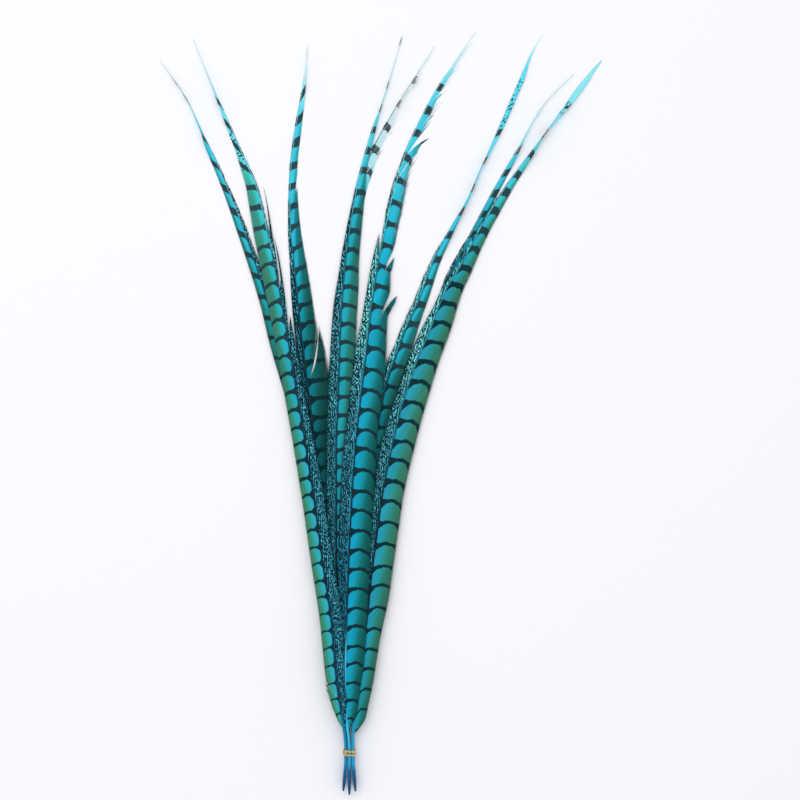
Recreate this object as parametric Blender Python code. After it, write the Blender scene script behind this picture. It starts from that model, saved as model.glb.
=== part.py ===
# A bunch of nine dyed pheasant tail feathers, held by a rubber band round their quills and
# laid down on a table. +Y runs from the band to the tips, +X is to the right as seen from
# above, and the origin is on the table, under the middle of the band. Sizes below are in mm.
import math

import bmesh
import bpy
from mathutils import Vector

MM = 0.001

# The grip: three columns of three quills, side by side inside the band.
QUILL_RADIUS = 1.7
QUILL_PITCH = 3.8
QUILL_END_SPLAY = 1.7        # how far the columns open again at the cut ends
ROW_END_SPLAY = 1.15
BAND_GAP = 0.3
BAND_WALL = 1.2
BAND_LENGTH = 7.0
BAND_CORNER = 2.0            # inner radius at the band's four corners
BAND_EDGE = 0.35             # bevel along the band's rims
BAND_CORNER_STEPS = 5

# A shaft thins from the quill to a hair at the tip: (distance from the band, radius).
SHAFT_RADIUS = [(-45, 1.6), (0, 1.7), (30, 1.35), (60, 1.15), (165, 0.8), (300, 0.68),
                (440, 0.58), (600, 0.42), (720, 0.25), (780, 0.15)]
VANE_HALF_THICKNESS = 0.2
VANE_EDGE_HALF_THICKNESS = 0.15
THINNEST = 0.7               # a vane's half thickness is never more than this share of the shaft
LEAST_VANE = 0.35            # a vane always stands out this far past the shaft

# Each feather runs in a layer of the fan, layer 0 on the table and layer 8 on top.
LAYER_STEP = [(30, 1.7), (60, 1.66), (165, 1.32), (300, 1.12), (440, 1.0), (600, 0.9), (780, 0.8)]
LOWEST_LIFT = [(30, 1.2), (150, 0.5), (300, 0.1), (400, 0.0)]
FREE_OF_BAND = 4.0           # the quills start to part here, and are in their layers here:
FANNED_OUT = 30.0

VANE_STATIONS = 28
STATION_GAP = 4.0            # a regular station gives way to a mark this near

DYED_VANE = (0.045, 0.36, 0.42, 1.0)
BAND_TAN = (0.47, 0.33, 0.18, 1.0)

# Each feather: the side of its wide barred vane (1 right, -1 left), its column and row in the
# grip, its cut end, its layer along the length, then along Y the shaft's X, the barred vane's
# width, the narrow vane's width and, where it twists, its roll in degrees, barred edge up.
# A split is the outline in X and Y of the gap between two groups of barbs.
FEATHERS = {
    "feather_far_left": {
        "side": -1, "column": -1, "row": 1, "butt": -38,
        "layer": [(150, 5), (600, 0)],
        "shaft": [(66, -9.5), (142, -17), (218, -25.5), (282, -35), (336, -47), (380, -58.5),
                  (434, -74), (488, -89), (583, -121.5), (628, -140), (650, -150),
                  (669, -159), (704, -175.5), (747, -205)],
        "barred": [(45, 2.5), (142, 7.6), (272, 8.6), (380, 10.3), (434, 10.8), (488, 9.2),
                   (563, 8.1), (628, 5.9), (671, 4.9), (725, 2.7), (747, 1)],
        "narrow": [(45, 2), (90, 5), (142, 6.5), (380, 5.4), (563, 3.4), (595, 2.2), (628, 1.1),
                   (747, 0.6)],
        "roll": [(630, 0), (665, 45), (700, 70)],
    },
    "feather_front_left": {
        "side": -1, "column": -1, "row": 2, "butt": -41,
        "layer": [(150, 8), (600, 1), (700, 0)],
        "shaft": [(34, -7), (77, -13.5), (142, -19.5), (207, -29), (272, -38), (336, -48),
                  (401, -59), (466, -70), (520, -80), (563, -89.5), (606, -99.5), (650, -118),
                  (701, -140), (726, -151), (770, -169)],
        "barred": [(27, 2.5), (56, 10.3), (99, 12.4), (228, 13.2), (423, 14.6), (520, 16.2),
                   (585, 14), (626, 9.5), (650, 6), (673, 4.8), (714, 3.6), (770, 1)],
        "narrow": [(27, 2), (66, 8.6), (164, 12.4), (293, 11.3), (380, 8.6), (488, 6.5),
                   (542, 5.5), (585, 5.4), (606, 7), (611, 7.4), (620, 2), (650, 1),
                   (770, 0.7)],
        "roll": [(660, 0), (690, 35), (720, 70)],
        "marks": [606, 611, 620],
    },
    "feather_inner_left": {
        "side": 1, "column": -1, "row": 0, "butt": -36,
        "layer": [(150, 2), (600, 0)],
        "shaft": [(56, -5), (110, -10.5), (164, -15.5), (218, -22), (272, -29), (336, -37.5),
                  (401, -45.5), (466, -53), (520, -58.3), (563, -62.5), (596, -63.7),
                  (628, -63.2), (671, -58.3), (714, -51), (736, -48), (763, -45.5)],
        "barred": [(45, 2.5), (164, 13), (272, 16), (345, 20), (400, 24), (417, 23.8),
                   (434, 21.6), (458, 18.9), (466, 16.7), (498, 14.6), (542, 11.3), (585, 8.6),
                   (628, 7), (671, 6.5), (714, 3.8), (763, 1)],
        "narrow": [(45, 2), (80, 6), (164, 7.6), (400, 8), (498, 7.6), (563, 4.3), (606, 2.2),
                   (693, 1.3), (763, 0.6)],
        "roll": [(690, 0), (720, 30), (745, 60)],
        "splits": [[(-40.5, 405), (-36.9, 428), (-35.7, 444), (-35, 476), (-29, 476), (-33, 458),
                    (-34.2, 444), (-35.3, 428)]],
        "marks": [400, 417, 458, 466],
    },
    "feather_centre_left": {
        "side": 1, "column": 0, "row": 1, "butt": -43,
        "layer": [(150, 4), (600, 1), (700, 0)],
        "shaft": [(56, -5), (110, -9), (164, -13), (218, -14.5), (326, -14.5), (380, -12.5),
                  (466, -9.5), (520, -5.5), (563, 0), (606, 7.5), (639, 15.7), (671, 24.8),
                  (697, 34), (736, 46), (774, 57)],
        "barred": [(45, 2.5), (164, 10.8), (272, 16), (380, 17.8), (488, 17.8), (542, 14.6),
                   (585, 12), (606, 10.3), (633, 8), (671, 5), (697, 4.6), (736, 3.2), (774, 1)],
        "narrow": [(45, 2), (90, 6), (164, 8.6), (347, 9.7), (466, 8.1), (520, 5.4), (563, 3.8),
                   (606, 1.9), (671, 1.3), (774, 0.6)],
        "roll": [(640, 0), (671, 30), (700, 70)],
    },
    "feather_behind_centre": {
        "side": 1, "column": 0, "row": 0, "butt": -39,
        "layer": [(150, 1), (600, 0)],
        "shaft": [(56, -2), (110, -4.3), (164, -6.5), (272, -7.5), (380, -6.5), (466, -4.3),
                  (520, -1.5), (563, 3), (606, 10.5), (633, 18.5), (650, 25), (682, 42.3),
                  (704, 55), (725, 68.6), (762, 92.3)],
        "barred": [(45, 2.5), (164, 9.7), (380, 11.9), (488, 10.8), (596, 8), (627, 8.5),
                   (650, 8.4), (671, 6.8), (704, 4.8), (725, 4.3), (762, 1)],
        "narrow": [(45, 2), (90, 5), (164, 6.5), (380, 6.5), (542, 4.3), (633, 2.2), (704, 1.3),
                   (762, 0.6)],
        "roll": [(670, 0), (704, 75), (722, 40), (740, 65)],
    },
    "feather_front_centre": {
        "side": 1, "column": 0, "row": 2, "butt": -45,
        "layer": [(150, 7), (440, 4), (600, 0)],
        "shaft": [(43, -3.8), (77, -4.5), (120, -3.6), (185, -1.6), (261, 1.8), (326, 6),
                  (390, 13), (434, 18.4), (477, 23.2), (520, 29.7), (563, 38.3), (606, 48),
                  (650, 62), (671, 71.3), (714, 93.4), (740, 110.7), (776, 134.5)],
        "barred": [(25, 2.5), (43, 11.9), (77, 17.8), (99, 20.8), (142, 22.7), (304, 24.5),
                   (347, 23.2), (412, 23.8), (455, 20.5), (475, 19.4), (485, 24.8), (492, 28.6),
                   (498, 19.4), (529, 14.6), (563, 14), (606, 12.4), (628, 9.7), (647, 12.4),
                   (662, 17.8), (667, 9.2), (693, 7.6), (714, 5.9), (740, 4.3), (776, 1)],
        "narrow": [(25, 2), (66, 7.6), (164, 10.8), (293, 13), (434, 12.4), (477, 8.6), (542, 7),
                   (585, 3.2), (650, 1.6), (776, 0.6)],
        "roll": [(720, 0), (750, 30)],
        "splits": [[(30.8, 466), (41.6, 484.5), (45, 499), (60, 503), (60, 497), (52.4, 492.5),
                    (41, 479.5)],
                   [(63.7, 648), (72.9, 662.5), (79, 674), (92, 674), (92, 666), (84.2, 662),
                    (76, 656.8), (69.7, 652.6)]],
        "marks": [475, 485, 492, 498, 628, 647, 655, 662, 667],
    },
    "feather_inner_right": {
        "side": 1, "column": 1, "row": 1, "butt": -42,
        "layer": [(150, 3), (600, 0)],
        "shaft": [(56, 3), (110, 4), (164, 6), (218, 9.5), (272, 15.7), (326, 24.3), (363, 32),
                  (398, 39.8), (423, 48.6), (455, 60.3), (488, 75), (531, 91.3),
                  (563, 108.2),
                  (596, 127), (628, 141), (671, 160.4), (714, 178.7), (751, 195), (776, 209)],
        "barred": [(45, 2.5), (164, 10.8), (326, 14), (434, 15.1), (488, 10.3), (542, 7.6),
                   (574, 5.9), (606, 5.4), (650, 4.5), (693, 5.5), (725, 5.5), (747, 3),
                   (776, 1)],
        "narrow": [(45, 2), (90, 5), (164, 6.5), (423, 7.6), (444, 5.6), (488, 5), (531, 3),
                   (552, 1.4), (776, 0.6)],
        "roll": [(530, 0), (563, 30), (596, 70), (625, 78), (650, 50), (675, 15)],
    },
    "feather_behind_right": {
        "side": 1, "column": 1, "row": 0, "butt": -37,
        "layer": [(150, 0), (600, 0)],
        "shaft": [(56, 5), (110, 9), (164, 14.6), (218, 21), (272, 28.6), (304, 34), (347, 43),
                  (384, 54), (417, 65.3), (455, 81.5), (488, 98.8), (520, 111), (563, 133.4),
                  (606, 156), (651, 182), (700, 211), (733, 243.5)],
        "barred": [(45, 2.5), (164, 13), (347, 17), (455, 13), (542, 8.6), (606, 6.5), (650, 4.9),
                   (704, 4), (733, 1)],
        "narrow": [(45, 2), (90, 5), (380, 4.9), (500, 4.3), (542, 2.5), (606, 1.6), (733, 0.6)],
        "roll": [(625, 0), (650, 50), (665, 75)],
    },
    "feather_front_right": {
        "side": 1, "column": 1, "row": 2, "butt": -40,
        "layer": [(150, 6), (600, 1), (700, 0)],
        "shaft": [(40, 4.9), (77, 10.3), (153, 20), (185, 23.2), (239, 30.2), (282, 36.2),
                  (326, 45.4), (363, 54), (390, 62), (423, 73.4), (455, 87), (498, 103.7),
                  (520, 117.2), (563, 140), (606, 166.3), (650, 198), (693, 229.5), (714, 244),
                  (736, 262), (747, 272.7)],
        "barred": [(20, 2.5), (27, 9), (45, 14.4), (77, 16.2), (120, 17.3), (185, 22.8), (282, 23.8),
                   (380, 26), (434, 24.3), (498, 19.4), (542, 13.5), (585, 11.3), (628, 7.6),
                   (650, 6.5), (682, 6), (714, 8), (736, 4.3), (747, 1)],
        "narrow": [(25, 2), (66, 6.5), (164, 10.8), (282, 10), (326, 13), (401, 9.7), (453, 10.3),
                   (488, 5.4), (542, 4.3), (594, 3.2), (612, 1.2), (747, 0.6)],
        "roll": [(620, 0), (650, 50), (668, 80), (690, 40), (714, 10)],
    },
}


def clearScene():
    for thing in list(bpy.data.objects):
        bpy.data.objects.remove(thing, do_unlink=True)


def smooth(points, at):
    # A cubic through (place, value) points that never overshoots them, level beyond both ends.
    if at <= points[0][0]:
        return points[0][1]
    if at >= points[-1][0]:
        return points[-1][1]
    steps = [b[0] - a[0] for a, b in zip(points, points[1:])]
    rises = [(b[1] - a[1]) / h for a, b, h in zip(points, points[1:], steps)]
    slopes = [rises[0]]
    for before, after in zip(rises, rises[1:]):
        turning = before * after <= 0
        slopes.append(0.0 if turning else 2 * before * after / (before + after))
    slopes.append(rises[-1])
    i = max(k for k in range(len(steps)) if points[k][0] <= at)
    h, t = steps[i], (at - points[i][0]) / steps[i]
    ease = t * t * (3 - 2 * t)
    return (points[i][1] * (1 - ease) + points[i + 1][1] * ease
            + h * t * (1 - t) * ((1 - t) * slopes[i] - t * slopes[i + 1]))


def easeIn(start, end, at):
    t = min(1.0, max(0.0, (at - start) / (end - start)))
    return t * t * (3 - 2 * t)


def shaftX(feather, y):
    gripped = feather["column"] * QUILL_PITCH
    grip = [(feather["butt"], gripped * QUILL_END_SPLAY), (-FREE_OF_BAND, gripped),
            (FREE_OF_BAND, gripped)]
    return smooth(grip + feather["shaft"], y)


def rollAt(feather, y):
    return math.radians(smooth(feather["roll"], y))


def shaftZ(feather, y):
    gripped = BAND_WALL + BAND_GAP + QUILL_RADIUS + feather["row"] * QUILL_PITCH
    middle = BAND_WALL + BAND_GAP + QUILL_RADIUS + QUILL_PITCH
    splay = 1 + (ROW_END_SPLAY - 1) * easeIn(-FREE_OF_BAND, feather["butt"], y)
    gripped = middle + (gripped - middle) * splay
    layered = smooth(feather["layer"], y) * smooth(LAYER_STEP, y)
    fanned = smooth(SHAFT_RADIUS, y) + smooth(LOWEST_LIFT, y) + layered
    onItsEdge = smooth(feather["narrow"], y) * math.sin(rollAt(feather, y))
    return gripped + (fanned + onItsEdge - gripped) * easeIn(FREE_OF_BAND, FANNED_OUT, y)


def quillRing(radius, lean):
    turns = [math.radians(165 - 30 * k) for k in range(12)]
    return [(radius * lean * math.cos(a), radius * math.sin(a)) for a in turns]


def vaneRing(feather, y, radius, lean):
    # Twelve corners: the narrow vane's edge first, over the shaft to the barred edge, and back.
    wide = radius * lean
    thick = min(VANE_HALF_THICKNESS, THINNEST * radius)
    rim = min(VANE_EDGE_HALF_THICKNESS, thick)
    barred = max(smooth(feather["barred"], y), wide + LEAST_VANE)
    narrow = max(smooth(feather["narrow"], y), wide + LEAST_VANE)
    over = [(-narrow, rim), (-wide, thick), (-wide / 2, radius), (wide / 2, radius),
            (wide, thick), (barred, rim)]
    return over + [(across, -up) for across, up in reversed(over)]


def sectionAt(feather, y):
    # The feather's outline where the plane at this distance from the band cuts it.
    slope = (shaftX(feather, y + 1) - shaftX(feather, y - 1)) / 2
    lean = math.hypot(1, slope)
    radius = smooth(SHAFT_RADIUS, y)
    vaned = y >= feather["barred"][0][0]
    ring = vaneRing(feather, y, radius, lean) if vaned else quillRing(radius, lean)
    roll, side = rollAt(feather, y), feather["side"]
    x, z = shaftX(feather, y), shaftZ(feather, y)
    corners = []
    for across, up in ring:
        dx = across * math.cos(roll) - up * math.sin(roll)
        dz = across * math.sin(roll) + up * math.cos(roll)
        corners.append(Vector((x + side * dx, y, z + dz)) * MM)
    return corners


def stationsOf(feather):
    start, tip = feather["barred"][0][0], feather["barred"][-1][0]
    marks = feather.get("marks", [])
    regular = [start + (tip - start) * i / (VANE_STATIONS - 1) for i in range(VANE_STATIONS)]
    kept = [y for y in regular if all(abs(y - mark) > STATION_GAP for mark in marks)]
    quill = [feather["butt"], -20, -FREE_OF_BAND, FREE_OF_BAND, 12, start - 7]
    return sorted(set(quill + kept + marks))


def addObject(name, mesh, material):
    thing = bpy.data.objects.new(name, mesh)
    thing.data.materials.append(material)
    bpy.context.collection.objects.link(thing)
    return thing


def addMaterial(name, colour, roughness):
    material = bpy.data.materials.new(name)
    material.use_nodes = True
    shader = material.node_tree.nodes["Principled BSDF"]
    shader.inputs["Base Color"].default_value = colour
    shader.inputs["Roughness"].default_value = roughness
    shader.inputs["Metallic"].default_value = 0.0
    return material


def solidFrom(bm, name):
    bmesh.ops.recalc_face_normals(bm, faces=bm.faces)
    mesh = bpy.data.meshes.new(name)
    bm.to_mesh(mesh)
    bm.free()
    return mesh


def featherMesh(name, feather):
    bm = bmesh.new()
    rings = [[bm.verts.new(corner) for corner in sectionAt(feather, y)]
             for y in stationsOf(feather)]
    for near, far in zip(rings, rings[1:]):
        for k in range(len(near)):
            after = (k + 1) % len(near)
            bm.faces.new((near[k], near[after], far[after], far[k]))
    bm.faces.new(rings[0])
    bm.faces.new(rings[-1])
    return solidFrom(bm, name)


def splitCutter(name, outline):
    # A prism as high as the whole bunch, which parts the vane where its barbs have let go.
    low, high = -5, 30
    bm = bmesh.new()
    under = [bm.verts.new(Vector((x, y, low)) * MM) for x, y in outline]
    over = [bm.verts.new(Vector((x, y, high)) * MM) for x, y in outline]
    bm.faces.new(under)
    bm.faces.new(over)
    for k in range(len(outline)):
        after = (k + 1) % len(outline)
        bm.faces.new((under[k], under[after], over[after], over[k]))
    cutter = bpy.data.objects.new(name, solidFrom(bm, name))
    cutter.hide_render = True
    cutter.display_type = "WIRE"
    bpy.context.collection.objects.link(cutter)
    return cutter


def addFeather(name, feather, material):
    thing = addObject(name, featherMesh(name, feather), material)
    for number, outline in enumerate(feather.get("splits", []), 1):
        cutter = splitCutter(f"{name}_split_{number}", outline)
        cut = thing.modifiers.new("split", "BOOLEAN")
        cut.operation = "DIFFERENCE"
        cut.object = cutter
    return thing


def bandPath(offset):
    # A rounded square round the nine quills, this far out from the band's inner face.
    half = QUILL_PITCH + QUILL_RADIUS + BAND_GAP
    centre = BAND_WALL + half
    points = []
    for corner in range(4):
        quarter = math.radians(90 * corner)
        cx = (half - BAND_CORNER) * (math.cos(quarter) - math.sin(quarter))
        cz = (half - BAND_CORNER) * (math.sin(quarter) + math.cos(quarter))
        for step in range(BAND_CORNER_STEPS + 1):
            turn = quarter + math.radians(90 * step / BAND_CORNER_STEPS)
            reach = BAND_CORNER + offset
            points.append((cx + reach * math.cos(turn), centre + cz + reach * math.sin(turn)))
    return points


def addBand(name, material):
    half, wall, edge = BAND_LENGTH / 2, BAND_WALL, BAND_EDGE
    profile = [(-half + edge, 0), (half - edge, 0), (half, edge), (half, wall - edge),
               (half - edge, wall), (-half + edge, wall), (-half, wall - edge), (-half, edge)]
    bm = bmesh.new()
    hoops = [[bm.verts.new(Vector((x, y, z)) * MM) for x, z in bandPath(offset)]
             for y, offset in profile]
    for near, far in zip(hoops, hoops[1:] + hoops[:1]):
        for k in range(len(near)):
            after = (k + 1) % len(near)
            bm.faces.new((near[k], near[after], far[after], far[k]))
    return addObject(name, solidFrom(bm, name), material)


clearScene()
dyedFeather = addMaterial("dyed_feather", DYED_VANE, 0.5)
tanRubber = addMaterial("tan_rubber", BAND_TAN, 0.6)
for featherName, featherShape in FEATHERS.items():
    addFeather(featherName, featherShape, dyedFeather)
addBand("rubber_band", tanRubber)
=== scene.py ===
# A bunch of nine dyed pheasant tail feathers in a rubber band, laid on a white table and seen
# from straight above. The sizes in the dictionaries are in mm, and scene units are metres.
import math

import bpy
import numpy as np
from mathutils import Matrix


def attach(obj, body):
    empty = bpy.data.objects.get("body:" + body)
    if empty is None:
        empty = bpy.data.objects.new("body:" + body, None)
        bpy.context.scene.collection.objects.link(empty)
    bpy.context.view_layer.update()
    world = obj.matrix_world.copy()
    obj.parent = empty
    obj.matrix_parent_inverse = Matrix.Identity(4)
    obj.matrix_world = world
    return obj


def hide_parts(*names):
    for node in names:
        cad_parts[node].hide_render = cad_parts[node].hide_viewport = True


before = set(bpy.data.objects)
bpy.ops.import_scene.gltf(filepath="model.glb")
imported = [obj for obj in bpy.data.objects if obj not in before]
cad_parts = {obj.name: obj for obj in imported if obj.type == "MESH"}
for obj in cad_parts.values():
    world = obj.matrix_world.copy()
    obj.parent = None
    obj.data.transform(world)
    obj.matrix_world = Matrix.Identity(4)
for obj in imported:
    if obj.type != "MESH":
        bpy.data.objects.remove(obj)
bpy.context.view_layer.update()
mm = 0.001
print("frame loaded:", ", ".join(sorted(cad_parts)))


def hexColour(text):
    # An sRGB hex value as the linear colour that a shader takes.
    parts = [int(text[i:i + 2], 16) / 255 for i in (1, 3, 5)]
    return [c / 12.92 if c <= 0.04045 else ((c + 0.055) / 1.055) ** 2.4 for c in parts] + [1.0]


def addNode(tree, kind, inputs=None, **settings):
    # Adds a node. An input takes a value, an output socket, or the result of another node.
    node = tree.nodes.new(kind)
    for setting, value in settings.items():
        setattr(node, setting, value)
    live = [socket for socket in node.inputs if socket.enabled]
    for place, value in (inputs or {}).items():
        socket = live[place] if isinstance(place, int) else \
            next(each for each in live if each.name == place)
        if isinstance(value, bpy.types.Node):
            value = next(each for each in value.outputs if each.enabled)
        if isinstance(value, bpy.types.NodeSocket):
            tree.links.new(value, socket)
        else:
            socket.default_value = value
    return node


def smooth(points, at):
    # A cubic through (place, value) points that never overshoots them, level beyond both ends.
    places, values = np.array(points, float).T
    steps, rises = np.diff(places), np.diff(values) / np.diff(places)
    both = rises[:-1] * rises[1:]
    total = np.where(both > 0, rises[:-1] + rises[1:], 1.0)
    slopes = np.concatenate(([rises[0]], np.where(both > 0, 2 * both / total, 0.0), [rises[-1]]))
    at = np.clip(np.asarray(at, float), places[0], places[-1])
    i = np.clip(np.searchsorted(places, at, side="right") - 1, 0, len(steps) - 1)
    h, t = steps[i], (at - places[i]) / steps[i]
    ease = t * t * (3 - 2 * t)
    return (values[i] * (1 - ease) + values[i + 1] * ease
            + h * t * (1 - t) * ((1 - t) * slopes[i] - t * slopes[i + 1]))


def easeIn(start, end, at):
    t = np.clip((np.asarray(at, float) - start) / (end - start), 0, 1)
    return t * t * (3 - 2 * t)


def addObject(name, data):
    made = bpy.data.objects.new(name, data)
    bpy.context.scene.collection.objects.link(made)
    return made


def storeValues(mesh, values):
    # Keeps a number or a vector at each point, under the name that a tree or material reads.
    for name, column in values.items():
        column = np.asarray(column, np.float32)
        kind, member = ("FLOAT", "value") if column.ndim == 1 else ("FLOAT_VECTOR", "vector")
        mesh.attributes.new(name, kind, "POINT").data.foreach_set(member, column.ravel())


def addGuide(name, points, edges, values):
    # Points and edges in metres for a tree to work on, with the values that it reads there.
    mesh = bpy.data.meshes.new(name)
    mesh.from_pydata(points, edges, [])
    storeValues(mesh, values)
    return addObject(name, mesh)


def newTree(name, inputs, result):
    # A Geometry Nodes tree with named inputs, given with the kinds of their sockets.
    tree = bpy.data.node_groups.new(name, "GeometryNodeTree")
    tree.is_modifier = True
    for socket, kind in inputs.items():
        tree.interface.new_socket(name=socket, in_out="INPUT", socket_type="NodeSocket" + kind)
    tree.interface.new_socket(name=result, in_out="OUTPUT", socket_type="NodeSocketGeometry")
    return tree, addNode(tree, "NodeGroupInput").outputs


def runTree(name, guide, tree, values):
    # Runs a tree on its guide and keeps the result as a plain mesh. The guide goes.
    modifier = guide.modifiers.new(name, "NODES")
    modifier.node_group = tree
    for socket in tree.interface.items_tree:
        if socket.in_out == "INPUT" and socket.name in values:
            modifier[socket.identifier] = values[socket.name]
    shown = bpy.context.evaluated_depsgraph_get()
    mesh = bpy.data.meshes.new_from_object(guide.evaluated_get(shown))
    mesh.name = name
    bpy.data.objects.remove(guide, do_unlink=True)
    return mesh


# What all nine feathers share: the grip in the band, the shaft's taper, the layers of the fan
# and the barbs. Pairs are (mm along from the band, value). Real barbs stand 0.5 mm apart along
# the shaft and are drawn a little coarser.
bunch = {
    "quillPitch": 3.8, "quillRadius": 1.7, "bandWall": 1.2, "bandGap": 0.3,
    "endSplay": 1.7, "rowEndSplay": 1.15,
    "grippedTo": 4, "fannedFrom": 30,  # quills run straight to the one and part up to the other
    "shaftRadius": [(-45, 1.6), (0, 1.7), (30, 1.35), (60, 1.15), (165, 0.8), (300, 0.68),
                    (440, 0.58), (600, 0.42), (720, 0.25), (780, 0.15)],
    "layerStep": [(30, 1.7), (60, 1.66), (165, 1.32), (300, 1.12), (440, 1.0), (600, 0.9),
                  (780, 0.8)],
    "lowestLift": [(30, 1.2), (150, 0.5), (300, 0.1), (400, 0.0)],
    "barbSpacing": 0.9, "barbSteps": 9, "barbOverlap": 1.5, "ridgeHeight": 0.09,
    "webSink": 0.03, "rootedAt": 0.6,  # barbs start inside the shaft, at this share of its radius
    # cotangents of the barb's angle to the shaft, where it leaves it and at its tip
    "barredLeave": [(30, 0.8), (90, 1.2), (300, 1.6), (500, 1.8), (620, 2.2), (760, 3.0)],
    "barredTip": [(30, 1.6), (90, 2.3), (300, 3.0), (500, 3.4), (620, 4.2), (760, 5.5)],
    "narrowLeave": [(30, 0.9), (90, 1.3), (300, 1.6), (500, 2.0), (620, 3.0), (760, 4.0)],
    "narrowTip": [(30, 1.8), (90, 2.6), (300, 3.6), (500, 5.0), (620, 7.0), (760, 8.0)],
    # across the worm-like lines, drawn a little coarser than they are
    "marblePitch": [(40, 2.1), (300, 2.2), (380, 2.5), (450, 3.0), (600, 3.2)],
    "toothPitch": 2.2,
    "barThickness": [(40, 3.2), (160, 3.5), (300, 4.0), (380, 4.2), (450, 4.4), (520, 4.8),
                     (560, 5.6), (600, 6.6), (650, 7.6), (760, 8.0)],
}

# What a feather has where its own dictionary says nothing else.
usualFeather = {
    **{course: [(0, 0), (700, 0)] for course in
       ("frayedBarred", "frayedNarrow", "wornBarred", "wornNarrow", "fringe", "strays", "sparse",
        "flareEdge", "specks", "broken", "cyanShift", "besideShaft", "green")},
    # One course multiplies a feather's colours as painted shading: below 1 it darkens the feather
    # where it lies in the shade of others, above 1 it brightens it.
    **{course: [(0, 1), (700, 1)] for course in ("steep", "strayGrowth", "barScale", "paintedShading")},
    "strip": [(0, 1.4), (700, 1.4)], "flareShaft": [(60, 3), (600, 2)], "flareUp": 0.15,
    "marbleLight": [(40, 0.2), (560, 0.5)], "lastBar": 790, "strayReach": (2.5, 6.0),
    "splits": [], "tufts": [],
}

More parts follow.
